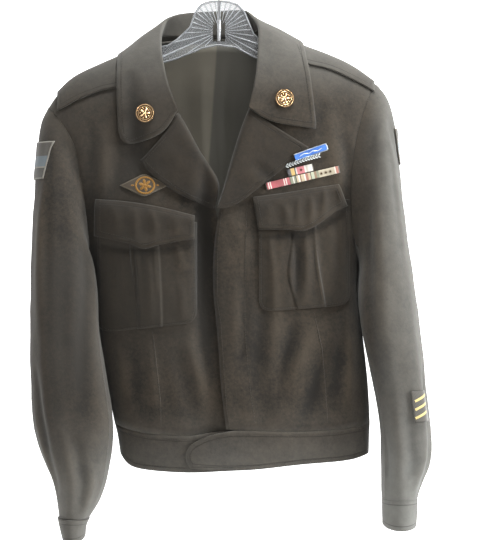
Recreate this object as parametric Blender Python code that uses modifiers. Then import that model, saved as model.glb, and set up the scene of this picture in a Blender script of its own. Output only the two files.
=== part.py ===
"""An ike jacket hung on a clear hanger. Metres, +Z up, the jacket faces -Y.

The origin is the inside crown of the hanger's hook. Left and right are the
wearer's, so the wearer's left is at +X. The tables hold millimetres, and each
cloth piece is a wall whose outer face is worked out from them.
"""
import math
from collections import namedtuple

import bmesh
import bpy
from mathutils import Vector

MM = 0.001

# ---- driving dimensions, millimetres -------------------------------------
WOOL = 1.8                # one layer of wool serge
DOUBLED = 2.4             # a faced piece: collar, lapel, waistband, cuff
LINING = 1.0
GAP = 0.3                 # between pieces that are sewn together
SEAM_SETBACK = 0.4        # each piece's edge from the seam line
SHOULDER_ROUND = 90.0     # height over which a shoulder rounds off
BODY_SQUARENESS = 2.3     # exponent of the body's section, 2 is an ellipse
SLEEVE_SQUARENESS = 2.15
SLEEVE_CLEARANCE = 2.0    # a hanging sleeve from the body's side
ARMHOLE_EASE = 0.5        # between a sleeve's seam and its armhole, up the front and back
ARMPIT_EASE = 1.7         # more of it at the armpit, where both hang down side by side
FOLD_RADIUS = 3.2         # outer radius of the collar's fold
POCKET_CORNER = 14.0      # radius of a pocket's lower corners
DISC_DIAMETER = 25.4
RIBBON_LENGTH = 35.0      # one ribbon
RIBBON_HEIGHT = 9.5
WIRE = 3.2                # hook wire's diameter
HOOK_RADIUS = 20.0        # to the middle of the wire

BodyRow = namedtuple("BodyRow", "z centre half_width front back")
BODY = [
    BodyRow(-80, 0, 264, 50, 48),
    BodyRow(-167, 0, 258, 50, 50),
    BodyRow(-228, 0, 247, 55, 54),
    BodyRow(-297, 1, 230, 61, 56),
    BodyRow(-365, 4, 205, 65, 58),
    BodyRow(-417, 7, 185, 67, 58),
    BodyRow(-461, 9, 180, 67, 57),
    BodyRow(-516, 15, 181, 66, 56),
    BodyRow(-579, 24, 179, 65, 55),
    BodyRow(-630, 30, 177, 66, 55),
    BodyRow(-653, 33, 173, 62, 53),
    BodyRow(-685, 35, 170, 61, 52),
    BodyRow(-712, 36, 167, 60, 51),
]

Point = namedtuple("Point", "x z")
# Top of the shoulders, and across the open neck between them.
SHOULDER_TOP = [
    Point(-236, -216), Point(-225, -199), Point(-216, -188), Point(-204, -176),
    Point(-190, -167), Point(-166, -156), Point(-134, -142), Point(-105, -129),
    Point(-80, -117), Point(-42, -93), Point(-8, -82), Point(28, -84),
    Point(62, -104), Point(78, -111), Point(110, -127), Point(130, -134),
    Point(158, -145), Point(181, -156), Point(197, -167), Point(216, -181),
]
NECK_LEFT_X = 66.0        # where shoulder seam and collar meet
NECK_RIGHT_X = -86.0
# The fronts' neck edges, just outside the collar's stand, from the lapel up.
NECK_EDGE_LEFT = [
    Point(53.5, -204), Point(57.5, -184), Point(61.5, -157), Point(63.5, -137),
    Point(66, -118),
]
NECK_EDGE_RIGHT = [
    Point(-70, -203), Point(-76, -186), Point(-83.5, -162), Point(-87.5, -142),
    Point(-88, -130),
]
BACK_NECK = [Point(-55, -117), Point(-8, -115), Point(36, -111)]
ARMHOLE_LEFT = [
    Point(192, -418), Point(185, -402), Point(180, -366), Point(179, -326),
    Point(181, -285), Point(187, -251), Point(194, -224), Point(204, -199),
    Point(213, -178.7),
]
ARMHOLE_RIGHT = [
    Point(-178, -418), Point(-182, -400), Point(-186, -366), Point(-187, -326),
    Point(-190, -292), Point(-194, -267), Point(-202, -252), Point(-212, -236),
    Point(-233, -211.3),
]
# Fold line of each lapel, from the crossing up to the collar.
ROLL_LEFT = [
    Point(-2, -350), Point(7, -322), Point(15, -293), Point(22, -270),
    Point(31, -241), Point(41, -216),
]
ROLL_RIGHT = [
    Point(-5, -350), Point(1, -328), Point(0, -313), Point(-8, -300),
    Point(-24, -276), Point(-40, -246), Point(-54, -222),
]
FRONT_EDGE_LEFT = [
    Point(10, -649), Point(5, -622), Point(1, -565), Point(-3, -505),
    Point(-8, -474), Point(-7, -400), Point(-2, -350),
]
FRONT_EDGE_RIGHT = [
    Point(30, -650), Point(26, -622), Point(22, -565), Point(18, -505),
    Point(14, -440), Point(10, -390), Point(3, -350),
]
WAIST_SEAM_FRONT = [
    Point(-150, -644), Point(-120, -651), Point(-90, -656), Point(-39, -658),
    Point(-2, -651), Point(12, -650), Point(60, -651), Point(110, -652),
    Point(160, -650), Point(210, -644),
]
HEM_FRONT = [
    Point(-142, -683), Point(-132, -690), Point(-122, -699), Point(-101, -704),
    Point(-40, -707), Point(29, -704), Point(111, -696), Point(179, -691),
    Point(200, -688), Point(212, -682),
]
WAIST_SIDE = -644.0
WAIST_SEAM_BACK = -644.0
HEM_BACK = -686.0

Fold = namedtuple("Fold", "x0 z0 x1 z1 width height")
FRONT_FOLDS = [
    Fold(150, -480, 70, -640, 20, 6), Fold(120, -500, 48, -600, 16, -5),
    Fold(178, -540, 110, -645, 18, -5), Fold(190, -470, 165, -640, 16, 4),
    Fold(150, -300, 172, -420, 16, -4), Fold(35, -380, 40, -600, 14, 3),
    Fold(-70, -560, -42, -650, 14, -4), Fold(-120, -540, -118, -650, 20, 4),
    Fold(-150, -430, -132, -620, 14, -4), Fold(-150, -190, -140, -330, 18, -5),
    Fold(-120, -260, -60, -330, 20, -3), Fold(150, -190, 160, -300, 20, -4),
]
BACK_FOLDS = [
    Fold(-130, -220, -120, -640, 16, -4), Fold(150, -210, 160, -640, 16, -4),
    Fold(-60, -440, -90, -645, 22, 5), Fold(40, -400, 60, -645, 24, 5),
    Fold(110, -480, 90, -645, 18, -4), Fold(-10, -200, 0, -560, 26, -3),
]
# How far the wearer's right front drops back where it goes under the left one.
Setback = namedtuple("Setback", "z depth")
RIGHT_FRONT_SETBACK = [
    Setback(-280, 0), Setback(-330, 5), Setback(-352, 10), Setback(-385, 15),
    Setback(-500, 16), Setback(-548, 11), Setback(-570, 7), Setback(-600, 10),
    Setback(-650, 7), Setback(-712, 5),
]

SleeveRow = namedtuple("SleeveRow", "outer_x outer_z inner_x inner_z depth centre_y")
SLEEVE_LEFT = [
    SleeveRow(214, -180, 193, -418, 50, 0), SleeveRow(226, -187, 194, -424, 52, -1),
    SleeveRow(236, -207, 194, -433, 56, -2), SleeveRow(243, -245, 194, -445, 60, -4),
    SleeveRow(248, -300, 192, -459, 64, -6), SleeveRow(253, -355, 191, -477, 67, -9),
    SleeveRow(259, -405, 192, -498, 68, -13), SleeveRow(267, -455, 196, -522, 67, -17),
    SleeveRow(275, -520, 202, -550, 65, -21), SleeveRow(280, -575, 208, -585, 63, -24),
    SleeveRow(285, -620, 214, -615, 61, -26), SleeveRow(289, -660, 219, -650, 59, -28),
    SleeveRow(288, -690, 219, -685, 57, -29), SleeveRow(280, -711, 220, -708, 54, -30),
    SleeveRow(273, -728, 220, -726, 50, -30), SleeveRow(270, -742, 221, -742, 47, -30),
]
CUFF_LEFT = [
    SleeveRow(270, -742.5, 221, -742.5, 47, -30),
    SleeveRow(270, -758, 221, -758, 47, -30), SleeveRow(268.5, -777, 221.5, -777, 46, -30),
]
SLEEVE_RIGHT = [
    SleeveRow(-235, -213, -179, -418, 50, 0), SleeveRow(-242, -221, -179, -424, 52, -1),
    SleeveRow(-246, -234, -178, -433, 56, -2), SleeveRow(-249, -265, -176, -446, 60, -4),
    SleeveRow(-252, -310, -173, -461, 64, -6), SleeveRow(-254, -360, -169, -480, 67, -9),
    SleeveRow(-256, -410, -165, -505, 68, -13), SleeveRow(-257, -460, -161, -528, 67, -17),
    SleeveRow(-257, -520, -155, -556, 65, -21), SleeveRow(-256, -580, -148, -588, 63, -24),
    SleeveRow(-254, -630, -143, -622, 61, -26), SleeveRow(-247, -668, -141, -658, 59, -28),
    SleeveRow(-236, -695, -147, -698, 57, -29), SleeveRow(-225, -719, -152, -722, 54, -30),
    SleeveRow(-220, -745, -163, -752, 50, -30), SleeveRow(-216.5, -768, -176, -769, 45, -30),
]
CUFF_RIGHT = [
    SleeveRow(-216.5, -768.5, -177, -769.5, 44.7, -30),
    SleeveRow(-214, -780, -182, -780, 43, -30), SleeveRow(-210, -794, -183, -793, 42, -30),
]
# Long soft folds of a sleeve: angle round the section at each end, from 0 at
# the outside through 90 at the front, and the share of the length at each end.
SleeveFold = namedtuple("SleeveFold", "angle0 share0 angle1 share1 width height")
SLEEVE_FOLDS_LEFT = [
    SleeveFold(52, 0.30, 50, 0.86, 15, 3.5), SleeveFold(88, 0.34, 80, 0.95, 16, -4),
    SleeveFold(125, 0.30, 118, 0.80, 14, 4), SleeveFold(30, 0.45, 22, 0.92, 11, -3),
    SleeveFold(250, 0.30, 262, 0.85, 18, 4), SleeveFold(300, 0.35, 285, 0.92, 16, -4),
]
SLEEVE_FOLDS_RIGHT = [
    SleeveFold(92, 0.34, 88, 0.93, 15, -6), SleeveFold(62, 0.32, 62, 0.90, 15, 4),
    SleeveFold(128, 0.42, 118, 0.95, 15, 4), SleeveFold(38, 0.52, 34, 0.90, 11, -3),
    SleeveFold(250, 0.30, 262, 0.85, 18, 4), SleeveFold(300, 0.35, 285, 0.92, 16, -4),
]


# Sections of the collar, from the wearer's right front round the back to the left:
# the neck seam, the fold, the middle of the fall and its outer edge.
CollarRow = namedtuple("CollarRow", "number neck_x neck_y neck_z fold_x fold_y fold_z "
                                    "middle_x middle_y middle_z edge_x edge_y edge_z")
COLLAR = [
    CollarRow(0, -61, -55, -214.5, -55, -63, -217.5, -74, -62.5, -249.5, -121, -57, -266),
    CollarRow(1, -66, -54, -200, -60, -61.5, -204, -88, -61.5, -227, -131, -56, -261),
    CollarRow(2, -72, -51, -186, -67, -59, -188, -98, -58, -206, -136, -54, -248),
    CollarRow(3, -79, -43, -162, -73, -52, -163, -104, -51, -180, -137, -52, -220),
    CollarRow(4, -83, -32, -142, -77, -41, -138, -108, -43, -152, -138, -47, -190),
    CollarRow(5, -83, -16, -128, -78, -22, -114, -108, -24, -124, -138, -36, -163),
    CollarRow(6, -80, 2, -114, -75, 2, -95, -101, 2, -108, -136, 2, -137.5),
    CollarRow(7, -74, 19, -113, -69, 19, -86, -84, 29, -103, -108, 38, -134),
    CollarRow(8, -60, 29, -113, -54, 32, -79, -60, 45, -98, -75, 54, -130),
    CollarRow(9, -36, 35, -112, -34, 39, -76, -36, 51, -98, -42, 58, -124),
    CollarRow(10, -8, 37, -112, -8, 41, -75, -8, 53, -97, -8, 60, -122),
    CollarRow(11, 20, 35, -110, 18, 39, -73, 20, 51, -95, 26, 58, -120),
    CollarRow(12, 44, 28, -107, 36, 31, -74, 44, 44, -94, 60, 51, -120),
    CollarRow(13, 52, 17, -104, 45, 16, -84, 67, 27, -97, 92, 34, -119),
    CollarRow(14, 60, 2, -107, 51, 1, -94, 79, 2, -101, 112, 2, -119),
    CollarRow(15, 61, -14, -118, 54, -18, -108, 84, -22, -116, 119, -36, -146),
    CollarRow(16, 59, -32, -137, 53, -37, -129, 86, -42, -142, 124, -47, -172),
    CollarRow(17, 57, -43, -157, 52, -50, -153, 85, -51, -168, 127, -52, -196),
    CollarRow(18, 53, -50, -184, 48, -58, -185, 79, -59, -202, 130, -54, -222),
    CollarRow(19, 49, -53, -203, 42, -61.5, -207, 71, -62.5, -225, 132, -55, -237),
    CollarRow(20, 46, -54, -210.5, 40, -63, -214.5, 67, -63, -233.5, 131, -56, -243),
]
COLLAR_OVER_SHOULDERS = (4, 5, 6, 7, 12, 13, 14, 15)
LAPEL_EDGE_LEFT = [
    Point(1, -352), Point(11, -352), Point(31, -342), Point(42, -333), Point(55, -323),
    Point(89, -296), Point(116, -275), Point(121, -269),
]
LAPEL_TOP_LEFT = [Point(41, -218.6), Point(67, -237.6), Point(121, -269)]
LAPEL_EDGE_RIGHT = [
    Point(-8, -350), Point(-25, -345), Point(-60, -328), Point(-88, -307),
    Point(-103, -292), Point(-105, -286),
]
LAPEL_TOP_RIGHT = [Point(-54.5, -222.4), Point(-73.5, -253.4), Point(-105, -286)]
# A lapel's columns from the fold to the edge, and how far each stands off the front.
LapelColumn = namedtuple("LapelColumn", "share lift")
LAPEL_COLUMNS = [
    LapelColumn(0, 1.6), LapelColumn(0.04, 5.2), LapelColumn(0.1, 6.6),
    LapelColumn(0.2, 6.4), LapelColumn(0.36, 5.6), LapelColumn(0.55, 5.0),
    LapelColumn(0.78, 4.7), LapelColumn(1, 4.5),
]

# Patch pockets: box in X, bottom and top at the left edge, and their rise across.
Pocket = namedtuple("Pocket", "left right bottom top tilt top_tilt")
POCKET_LEFT = Pocket(54, 176, -490, -352, 8, 14)
POCKET_RIGHT = Pocket(-163, -30, -519, -352, 14, -18)
# The box pleat's two edges, from the bottom up.
PLEAT_LEFT = (
    [Point(105, -485), Point(92, -447), Point(97, -420), Point(100, -370)],
    [Point(143, -481), Point(131, -427), Point(129, -400), Point(132, -365)],
)
PLEAT_RIGHT = (
    [Point(-108, -514), Point(-111, -461), Point(-118, -403), Point(-118, -360)],
    [Point(-75, -505), Point(-77, -441), Point(-80, -402), Point(-80, -370)],
)
FLAP_TOP_LEFT = [Point(46, -336), Point(90, -330), Point(130, -323), Point(162, -318)]
FLAP_BOTTOM_LEFT = [
    Point(53, -380), Point(96, -380), Point(112, -383), Point(130, -375),
    Point(155, -355), Point(173, -347),
]
FLAP_TOP_RIGHT = [Point(-166, -338), Point(-120, -342), Point(-75, -350), Point(-32, -361)]
FLAP_BOTTOM_RIGHT = [
    Point(-166, -387), Point(-119, -398), Point(-98, -407), Point(-79, -400),
    Point(-32, -392),
]
TAB_END = [Point(-38, -701), Point(-44.5, -690), Point(-43.5, -677), Point(-36, -667)]
TAB_TOP = [Point(-18, -658)]
HEM_SIDE = -684.0
BAND_GAP = 0.7            # from the waist seam to the waistband
SIDE_SETBACK = 0.7        # each waistband end from the side seam
TAB_LIFT = 3.6            # of the tab's end over the other side's waistband
TAB_FLAT_X = 34           # from here on the waistband lies on the body again

# A shoulder loop's edges, as drops below the top of the shoulder.
LoopRow = namedtuple("LoopRow", "x front_drop back_drop")
LOOP_LEFT = [
    LoopRow(211, 15, 4), LoopRow(200, 16, 4), LoopRow(182, 20, 4), LoopRow(163, 20, 4),
    LoopRow(144, 21, 4), LoopRow(123, 25, 3), LoopRow(108, 25, 3),
]
LOOP_RIGHT = [
    LoopRow(-219, 26, 1), LoopRow(-208, 34, 1), LoopRow(-189, 36, 1),
    LoopRow(-171, 38, 1), LoopRow(-160, 38, 1), LoopRow(-138, 44, 1), LoopRow(-126, 44, 1),
]
LOOP_STANDOFF = 1.3       # the seam below it is thick
LINING_PLEAT_X = -3.0
LINING_PLEAT_DEPTH = 2.0
LINING_PLEAT_WIDTH = 5.0
LINING_SLACK = 3.2        # the lining hangs this far inside the back's wall
CLOTH_ON_CLOTH = 0.6      # from a piece to the one it is sewn on
PATCH_ON_SLEEVE = 1.0     # more where a patch goes round a sleeve's folds
PLEAT_HEIGHT = 1.8
POCKET_FULLNESS = 4.0
DISC_THICKNESS = 2.6
DISC_STANDOFF = 0.5
PATCH_THICKNESS = 1.2
BAR_THICKNESS = 1.3
DISC_TAPER = 0.9          # radius of its front face as a share of the back's
SleevePatch = namedtuple("SleevePatch", "name side angles heights")
SLEEVE_PATCHES = [
    SleevePatch("shoulder_patch_right", "right", (-14, 42), (-260, -311)),
    SleevePatch("shoulder_patch_left", "left", (-32, 14), (-242, -290)),
    SleevePatch("service_bars", "left", (28, 74), (-596, -637)),
]

# Badges laid along the wearer's left front: centre, box, turn in degrees, height
# of the outer face over the front.
Strip = namedtuple("Strip", "x z width height turn lift columns")
RIBBON_LOWER = Strip(113, -310, 3 * RIBBON_LENGTH - 3, RIBBON_HEIGHT, 13.5, 1.9, 9)
RIBBON_UPPER = Strip(110, -299.6, RIBBON_LENGTH, RIBBON_HEIGHT, 13.5, 1.9, 4)
BADGE_BAR = Strip(124, -275.6, 48, 10, 20, 6.5, 5)
CHEST_PATCH = Strip(-100, -320, 66, 32, 0, PATCH_THICKNESS + CLOTH_ON_CLOTH, 5)

# Clear hanger: where its arms lie under the shoulders, the top of the bridge
# between them, and the underside back.
ARM_RIGHT_X = (-174, -102)
ARM_LEFT_X = (100, 166)
ARM_CLEARANCE = 1.5       # from an arm to the cloth that rests on it
BRIDGE_TOP = [
    Point(-84, -129), Point(-72, -127), Point(-60, -119), Point(-41, -101), Point(-33, -80),
    Point(-25, -69.5), Point(-12, -65), Point(0, -64), Point(13, -65), Point(26, -69.5),
    Point(35, -79), Point(41, -93), Point(49, -111), Point(60, -121), Point(78, -124),
]
HANGER_UNDER = [
    Point(162, -176), Point(130, -163), Point(90, -152), Point(50, -143), Point(24, -129),
    Point(0, -126), Point(-24, -130), Point(-60, -145), Point(-104, -157),
    Point(-146, -173), Point(-169, -185),
]
HANGER_THICKNESS = 9.0
WINDOW_HALF = 8.5
WINDOW_HIGH = -80.0
WINDOW_LOW = -121.0
PIN_TOP = -91.0
PIN_RADIUS = 3.0


# ---- curves, tables and grids --------------------------------------------
def lookup(rows, value):
    """The table's row at a value of its first column, read from a smooth curve."""
    keys = [row[0] for row in rows]
    rising = keys[-1] > keys[0]
    value = min(max(value, min(keys)), max(keys))
    i = 0
    while i < len(rows) - 2 and (value > keys[i + 1]) == rising and value != keys[i + 1]:
        i += 1
    span = keys[i + 1] - keys[i]
    share = (value - keys[i]) / span
    result = [value]
    for column in range(1, len(rows[0])):
        y = [row[column] for row in rows]
        before = slope(keys, y, i) * span
        after = slope(keys, y, i + 1) * span
        result.append(hermite(y[i], y[i + 1], before, after, share))
    return type(rows[0])(*result)


def slope(keys, values, i):
    """Slope of a table's column at row i, from the rows on both sides."""
    low, high = max(i - 1, 0), min(i + 1, len(keys) - 1)
    return (values[high] - values[low]) / (keys[high] - keys[low])


def hermite(a, b, slope_a, slope_b, t):
    square, cube = t * t, t * t * t
    return ((2 * cube - 3 * square + 1) * a + (cube - 2 * square + t) * slope_a
            + (3 * square - 2 * cube) * b + (cube - square) * slope_b)


def curve(points, smooth=True):
    """A function from a share of the length, 0 to 1, to a point on the curve."""
    points = [Vector(p) for p in points]
    lengths = [0.0]
    for a, b in zip(points, points[1:]):
        lengths.append(lengths[-1] + (b - a).length)

    def at(share):
        length = min(max(share, 0.0), 1.0) * lengths[-1]
        i = 0
        while i < len(points) - 2 and length > lengths[i + 1]:
            i += 1
        span = lengths[i + 1] - lengths[i]
        t = (length - lengths[i]) / span
        if not smooth:
            return points[i].lerp(points[i + 1], t)
        ends = []
        for k in (i, i + 1):
            low, high = max(k - 1, 0), min(k + 1, len(points) - 1)
            ends.append((points[high] - points[low]) * (span / (lengths[high] - lengths[low])))
        return hermite(points[i], points[i + 1], ends[0], ends[1], t)

    return at


def joined(*points_lists):
    """One outline from several that meet end to end."""
    outline = list(points_lists[0])
    for points in points_lists[1:]:
        outline += [p for p in points if tuple(p) != tuple(outline[-1])]
    return outline


def even(count):
    return [i / count for i in range(count + 1)]


def closer_to_end(count, power):
    """Shares from 0 to 1 whose steps get smaller towards 1."""
    return [1 - (1 - i / count) ** power for i in range(count + 1)]


def with_last_step(shares, step=0.0016):
    """The shares with one more, thin step before the end, to square a seam's rim."""
    return shares[:-1] + [1 - step, 1]


def with_end_steps(values, step=0.01):
    """The values with a thin step at both ends, as a share of their whole range."""
    thin = (values[-1] - values[0]) * step
    return [values[0], values[0] + thin, *values[1:-1], values[-1] - thin, values[-1]]


def patch(bottom, top, left, right, across, upward):
    """Grid of a four-sided patch, each side a function of 0 to 1."""
    grid = []
    for v in upward:
        row = []
        for u in across:
            ruled = left(v).lerp(right(v), u) + bottom(u).lerp(top(u), v)
            corners = bottom(0).lerp(bottom(1), u).lerp(top(0).lerp(top(1), u), v)
            row.append(ruled - corners)
        grid.append(row)
    return grid


def normals(grid, outward):
    """Unit normals of a grid of points, on the side that outward points to."""
    result, total = [], 0.0
    last_row, last = len(grid) - 1, len(grid[0]) - 1
    for i, row in enumerate(grid):
        result.append([])
        for j in range(len(row)):
            along = row[min(j + 1, last)] - row[max(j - 1, 0)]
            up = grid[min(i + 1, last_row)][j] - grid[max(i - 1, 0)][j]
            normal = along.cross(up).normalized()
            result[-1].append(normal)
            total += normal.dot(outward)
    if total < 0:
        result = [[-n for n in row] for row in result]
    return result


FORWARD = Vector((0, -1, 0))
BACKWARD = Vector((0, 1, 0))
UPWARD = Vector((0, 0, 1))


def moved_out(grid, distance, outward=FORWARD):
    """The grid moved along its normals; distance may be a function of (i, j)."""
    result = []
    for i, (row, across) in enumerate(zip(grid, normals(grid, outward))):
        result.append([])
        for j, (point, normal) in enumerate(zip(row, across)):
            amount = distance(i, j) if callable(distance) else distance
            result[-1].append(point + normal * amount)
    return result


def set_back(grid, amount, sides="lrbt"):
    """The grid with its edge points moved inwards: left, right, bottom, top."""
    grid = [[point.copy() for point in row] for row in grid]

    def shift(point, neighbour):
        step = neighbour - point
        return point + step * min(amount / max(step.length, 1e-6), 0.45)

    if "l" in sides or "r" in sides:
        for row in grid:
            if "l" in sides:
                row[0] = shift(row[0], row[1])
            if "r" in sides:
                row[-1] = shift(row[-1], row[-2])
    if "b" in sides:
        grid[0] = [shift(p, q) for p, q in zip(grid[0], grid[1])]
    if "t" in sides:
        grid[-1] = [shift(p, q) for p, q in zip(grid[-1], grid[-2])]
    return grid


# ---- the body's form -------------------------------------------------------
def fold_relief(folds, x, z):
    """Height of the soft folds at a place on a panel."""
    total = 0.0
    for fold in folds:
        run = Vector((fold.x1 - fold.x0, fold.z1 - fold.z0))
        offset = Vector((x - fold.x0, z - fold.z0))
        share = offset.dot(run) / run.length_squared
        if -0.1 < share < 1.1:
            away = (offset - run * share).length / fold.width
            fade = math.sin(math.pi * (share + 0.1) / 1.2) ** 0.8
            total += fold.height * fade * math.exp(-away * away)
    return total


def body_share(x, z):
    """Depth of the body at (x, z) as a share of its full depth there."""
    row = lookup(BODY, z)
    t = min(abs(x - row.centre) / row.half_width, 1.0)
    side = (1 - t ** BODY_SQUARENESS) ** (1 / BODY_SQUARENESS)
    drop = max(lookup(SHOULDER_TOP, x).z - z, 0.0)
    dome = math.sqrt(1 - (1 - min(drop / SHOULDER_ROUND, 1.0)) ** 2)
    return row, side * dome


def ramp(value, start, end):
    """0 before start, 1 after end, smooth between."""
    t = min(max((value - start) / (end - start), 0.0), 1.0)
    return t * t * (3 - 2 * t)


def front_left_point(x, z):
    row, share = body_share(x, z)
    y = -row.front * share - fold_relief(FRONT_FOLDS, x, z) * share
    return Vector((x, y, z))


def front_right_point(x, z):
    row, share = body_share(x, z)
    y = -row.front * share - fold_relief(FRONT_FOLDS, x, z) * share
    depth = lookup(RIGHT_FRONT_SETBACK, z).depth
    return Vector((x, y + depth * ramp(x, -34, -12), z))


def back_point(x, z):
    row, share = body_share(x, z)
    return Vector((x, row.back * share + fold_relief(BACK_FOLDS, x, z) * share, z))


def side_x(sign, z):
    row = lookup(BODY, z)
    return row.centre + sign * row.half_width


def side_seam(sign, low, high):
    """A function of 0 to 1 up the side seam, at +X for sign 1."""
    def at(share):
        z = low + (high - low) * share
        return Vector((side_x(sign, z), z))
    return at


def shoulder_seam(start_x, end_x):
    """A function of 0 to 1 along the top of a shoulder."""
    def at(share):
        x = start_x + (end_x - start_x) * share
        return Vector((x, lookup(SHOULDER_TOP, x).z))
    return at


def in_turn(*stretches):
    """One function of 0 to 1 from stretches, each (its end share, function)."""
    def at(share):
        start = 0.0
        for end, stretch in stretches:
            if share <= end or end == stretches[-1][0]:
                return stretch((share - start) / (end - start))
            start = end
    return at


def nearest(shares, value):
    return min(shares, key=lambda share: abs(share - value))


def on_surface(grid, surface):
    return [[surface(point.x, point.y) for point in row] for row in grid]


# ---- making objects ---------------------------------------------------------
def new_material(name, colour, roughness, metallic=0.0, alpha=1.0):
    material = bpy.data.materials.new(name)
    material.use_nodes = True
    shader = material.node_tree.nodes["Principled BSDF"]
    shader.inputs["Base Color"].default_value = (*colour, 1.0)
    shader.inputs["Roughness"].default_value = roughness
    shader.inputs["Metallic"].default_value = metallic
    shader.inputs["Alpha"].default_value = alpha
    material.diffuse_color = (*colour, alpha)
    return material


def mesh_object(name, mesh, material):
    for polygon in mesh.polygons:
        polygon.use_smooth = True
    mesh.materials.append(material)
    obj = bpy.data.objects.new(name, mesh)
    PARTS.objects.link(obj)
    return obj


def sheet(name, grid, thickness, material, outward=None, closed=False):
    """A cloth wall: the grid is its outer face, and its thickness goes inwards."""
    mesh = bpy.data.meshes.new(name)
    model = bmesh.new()
    rows = [[model.verts.new(point * MM) for point in row] for row in grid]
    columns = len(rows[0])
    for lower, upper in zip(rows, rows[1:]):
        for j in range(columns if closed else columns - 1):
            k = (j + 1) % columns
            model.faces.new((lower[j], lower[k], upper[k], upper[j]))
    model.normal_update()
    if outward is not None:
        facing = sum(face.normal.dot(outward) for face in model.faces)
        if facing < 0:
            bmesh.ops.reverse_faces(model, faces=model.faces)
    model.to_mesh(mesh)
    model.free()
    obj = mesh_object(name, mesh, material)
    wall = obj.modifiers.new("wall", "SOLIDIFY")
    wall.thickness = thickness * MM
    wall.offset = -1.0
    return obj


# ---- body panels ---------------------------------------------------------------
def front_panel(side):
    """One front, from the waist seam to the shoulder seam."""
    left = side == "left"
    sign = 1 if left else -1
    armhole = ARMHOLE_LEFT if left else ARMHOLE_RIGHT
    edge = FRONT_EDGE_LEFT if left else FRONT_EDGE_RIGHT
    roll = ROLL_LEFT if left else ROLL_RIGHT
    neck_x = NECK_LEFT_X if left else NECK_RIGHT_X
    surface = front_left_point if left else front_right_point
    neck_edge = NECK_EDGE_LEFT if left else NECK_EDGE_RIGHT
    across = with_last_step([math.sin(t * math.pi / 2) for t in even(12)])
    upward = with_last_step(closer_to_end(18, 1.6))
    armpit = nearest(upward, 0.47)
    top = shoulder_seam(neck_x, armhole[-1].x)
    # The panel stops just short of the lapel's fold and of the collar's stand.
    inset = [Point(p.x + sign * 3.0, p.z) for p in roll]
    inner = curve(joined(edge[:-1], inset, neck_edge, [Point(*top(0))]))
    outer = in_turn((armpit, side_seam(sign, WAIST_SIDE, armhole[0].z)), (1, curve(armhole)))
    bottom = curve([edge[0], *waist_points(sign, edge[0].x), Point(*outer(0))])
    grid = on_surface(patch(bottom, top, inner, outer, across, upward), surface)
    return set_back(grid, SEAM_SETBACK)


def waist_points(sign, start_x):
    """Points of the waist seam between the front edge and the side."""
    points = [p for p in WAIST_SEAM_FRONT[1:-1] if (p.x - start_x) * sign > 8]
    return points if sign > 0 else points[::-1]


def back_panel():
    """The back, from side seam to side seam."""
    half = with_last_step([math.sin(t * math.pi / 2) for t in even(8)])
    across = [0.5 - 0.5 * t for t in half[:0:-1]] + [0.5 + 0.5 * t for t in half]
    upward = with_last_step(closer_to_end(16, 1.6))
    armpit = nearest(upward, 0.45)
    sides = []
    for sign, armhole in ((-1, ARMHOLE_RIGHT), (1, ARMHOLE_LEFT)):
        seam = side_seam(sign, WAIST_SEAM_BACK, armhole[0].z)
        sides.append(in_turn((armpit, seam), (1, curve(back_armhole(armhole, sign)))))
    left, right = sides
    bottom = curve([left(0), Vector((0, WAIST_SEAM_BACK)), right(0)])
    shoulder_right = shoulder_seam(ARMHOLE_RIGHT[-1].x, NECK_RIGHT_X)
    shoulder_left = shoulder_seam(NECK_LEFT_X, ARMHOLE_LEFT[-1].x)
    neck = curve([shoulder_right(1), *BACK_NECK, shoulder_left(0)])
    neck_shares = nearest(across, 0.34), nearest(across, 0.66)
    top = in_turn((neck_shares[0], shoulder_right), (neck_shares[1], neck), (1, shoulder_left))
    grid = on_surface(patch(bottom, top, left, right, across, upward), back_point)
    return set_back(grid, SEAM_SETBACK)


def back_armhole(armhole, sign):
    """The armhole's outline on the back, a little fuller than on the front."""
    count = len(armhole) - 1
    return [Point(p.x + sign * 7 * math.sin(math.pi * i / count), p.z)
            for i, p in enumerate(armhole)]


# ---- sleeves -----------------------------------------------------------------------
def section_point(row, angle):
    """A point of a sleeve's section: 0 is outside, 90 front, 180 inside."""
    power = 2 / SLEEVE_SQUARENESS
    c, s = math.cos(angle), math.sin(angle)
    along = math.copysign(abs(c) ** power, c)
    depth = math.copysign(abs(s) ** power, s)
    x = (row.outer_x + row.inner_x) / 2 + (row.outer_x - row.inner_x) / 2 * along
    z = (row.outer_z + row.inner_z) / 2 + (row.outer_z - row.inner_z) / 2 * along
    return Vector((x, row.centre_y - row.depth * depth, z))


def sleeve_row(table, share):
    """A row of the sleeve's table at a share of its length."""
    numbered = [NumberedRow(i, *row) for i, row in enumerate(table)]
    return SleeveRow(*lookup(numbered, share * (len(table) - 1))[1:])


NumberedRow = namedtuple("NumberedRow", ("number",) + SleeveRow._fields)


def armhole_loop(side):
    """A function from the section's angle to the armhole seam's point."""
    left = side == "left"
    armhole = ARMHOLE_LEFT if left else ARMHOLE_RIGHT
    front_surface = front_left_point if left else front_right_point
    front = curve(armhole[::-1])
    back = curve(back_armhole(armhole, 1 if left else -1)[::-1])

    def at(angle):
        turn = angle % (2 * math.pi) / math.pi
        if turn <= 1:
            flat, surface, share = front(turn), front_surface, turn
        else:
            flat, surface, share = back(2 - turn), back_point, 2 - turn
        point = surface(flat.x, flat.y)
        if share in (0, 1):
            point.y = 0.0
        return point

    return at


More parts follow.
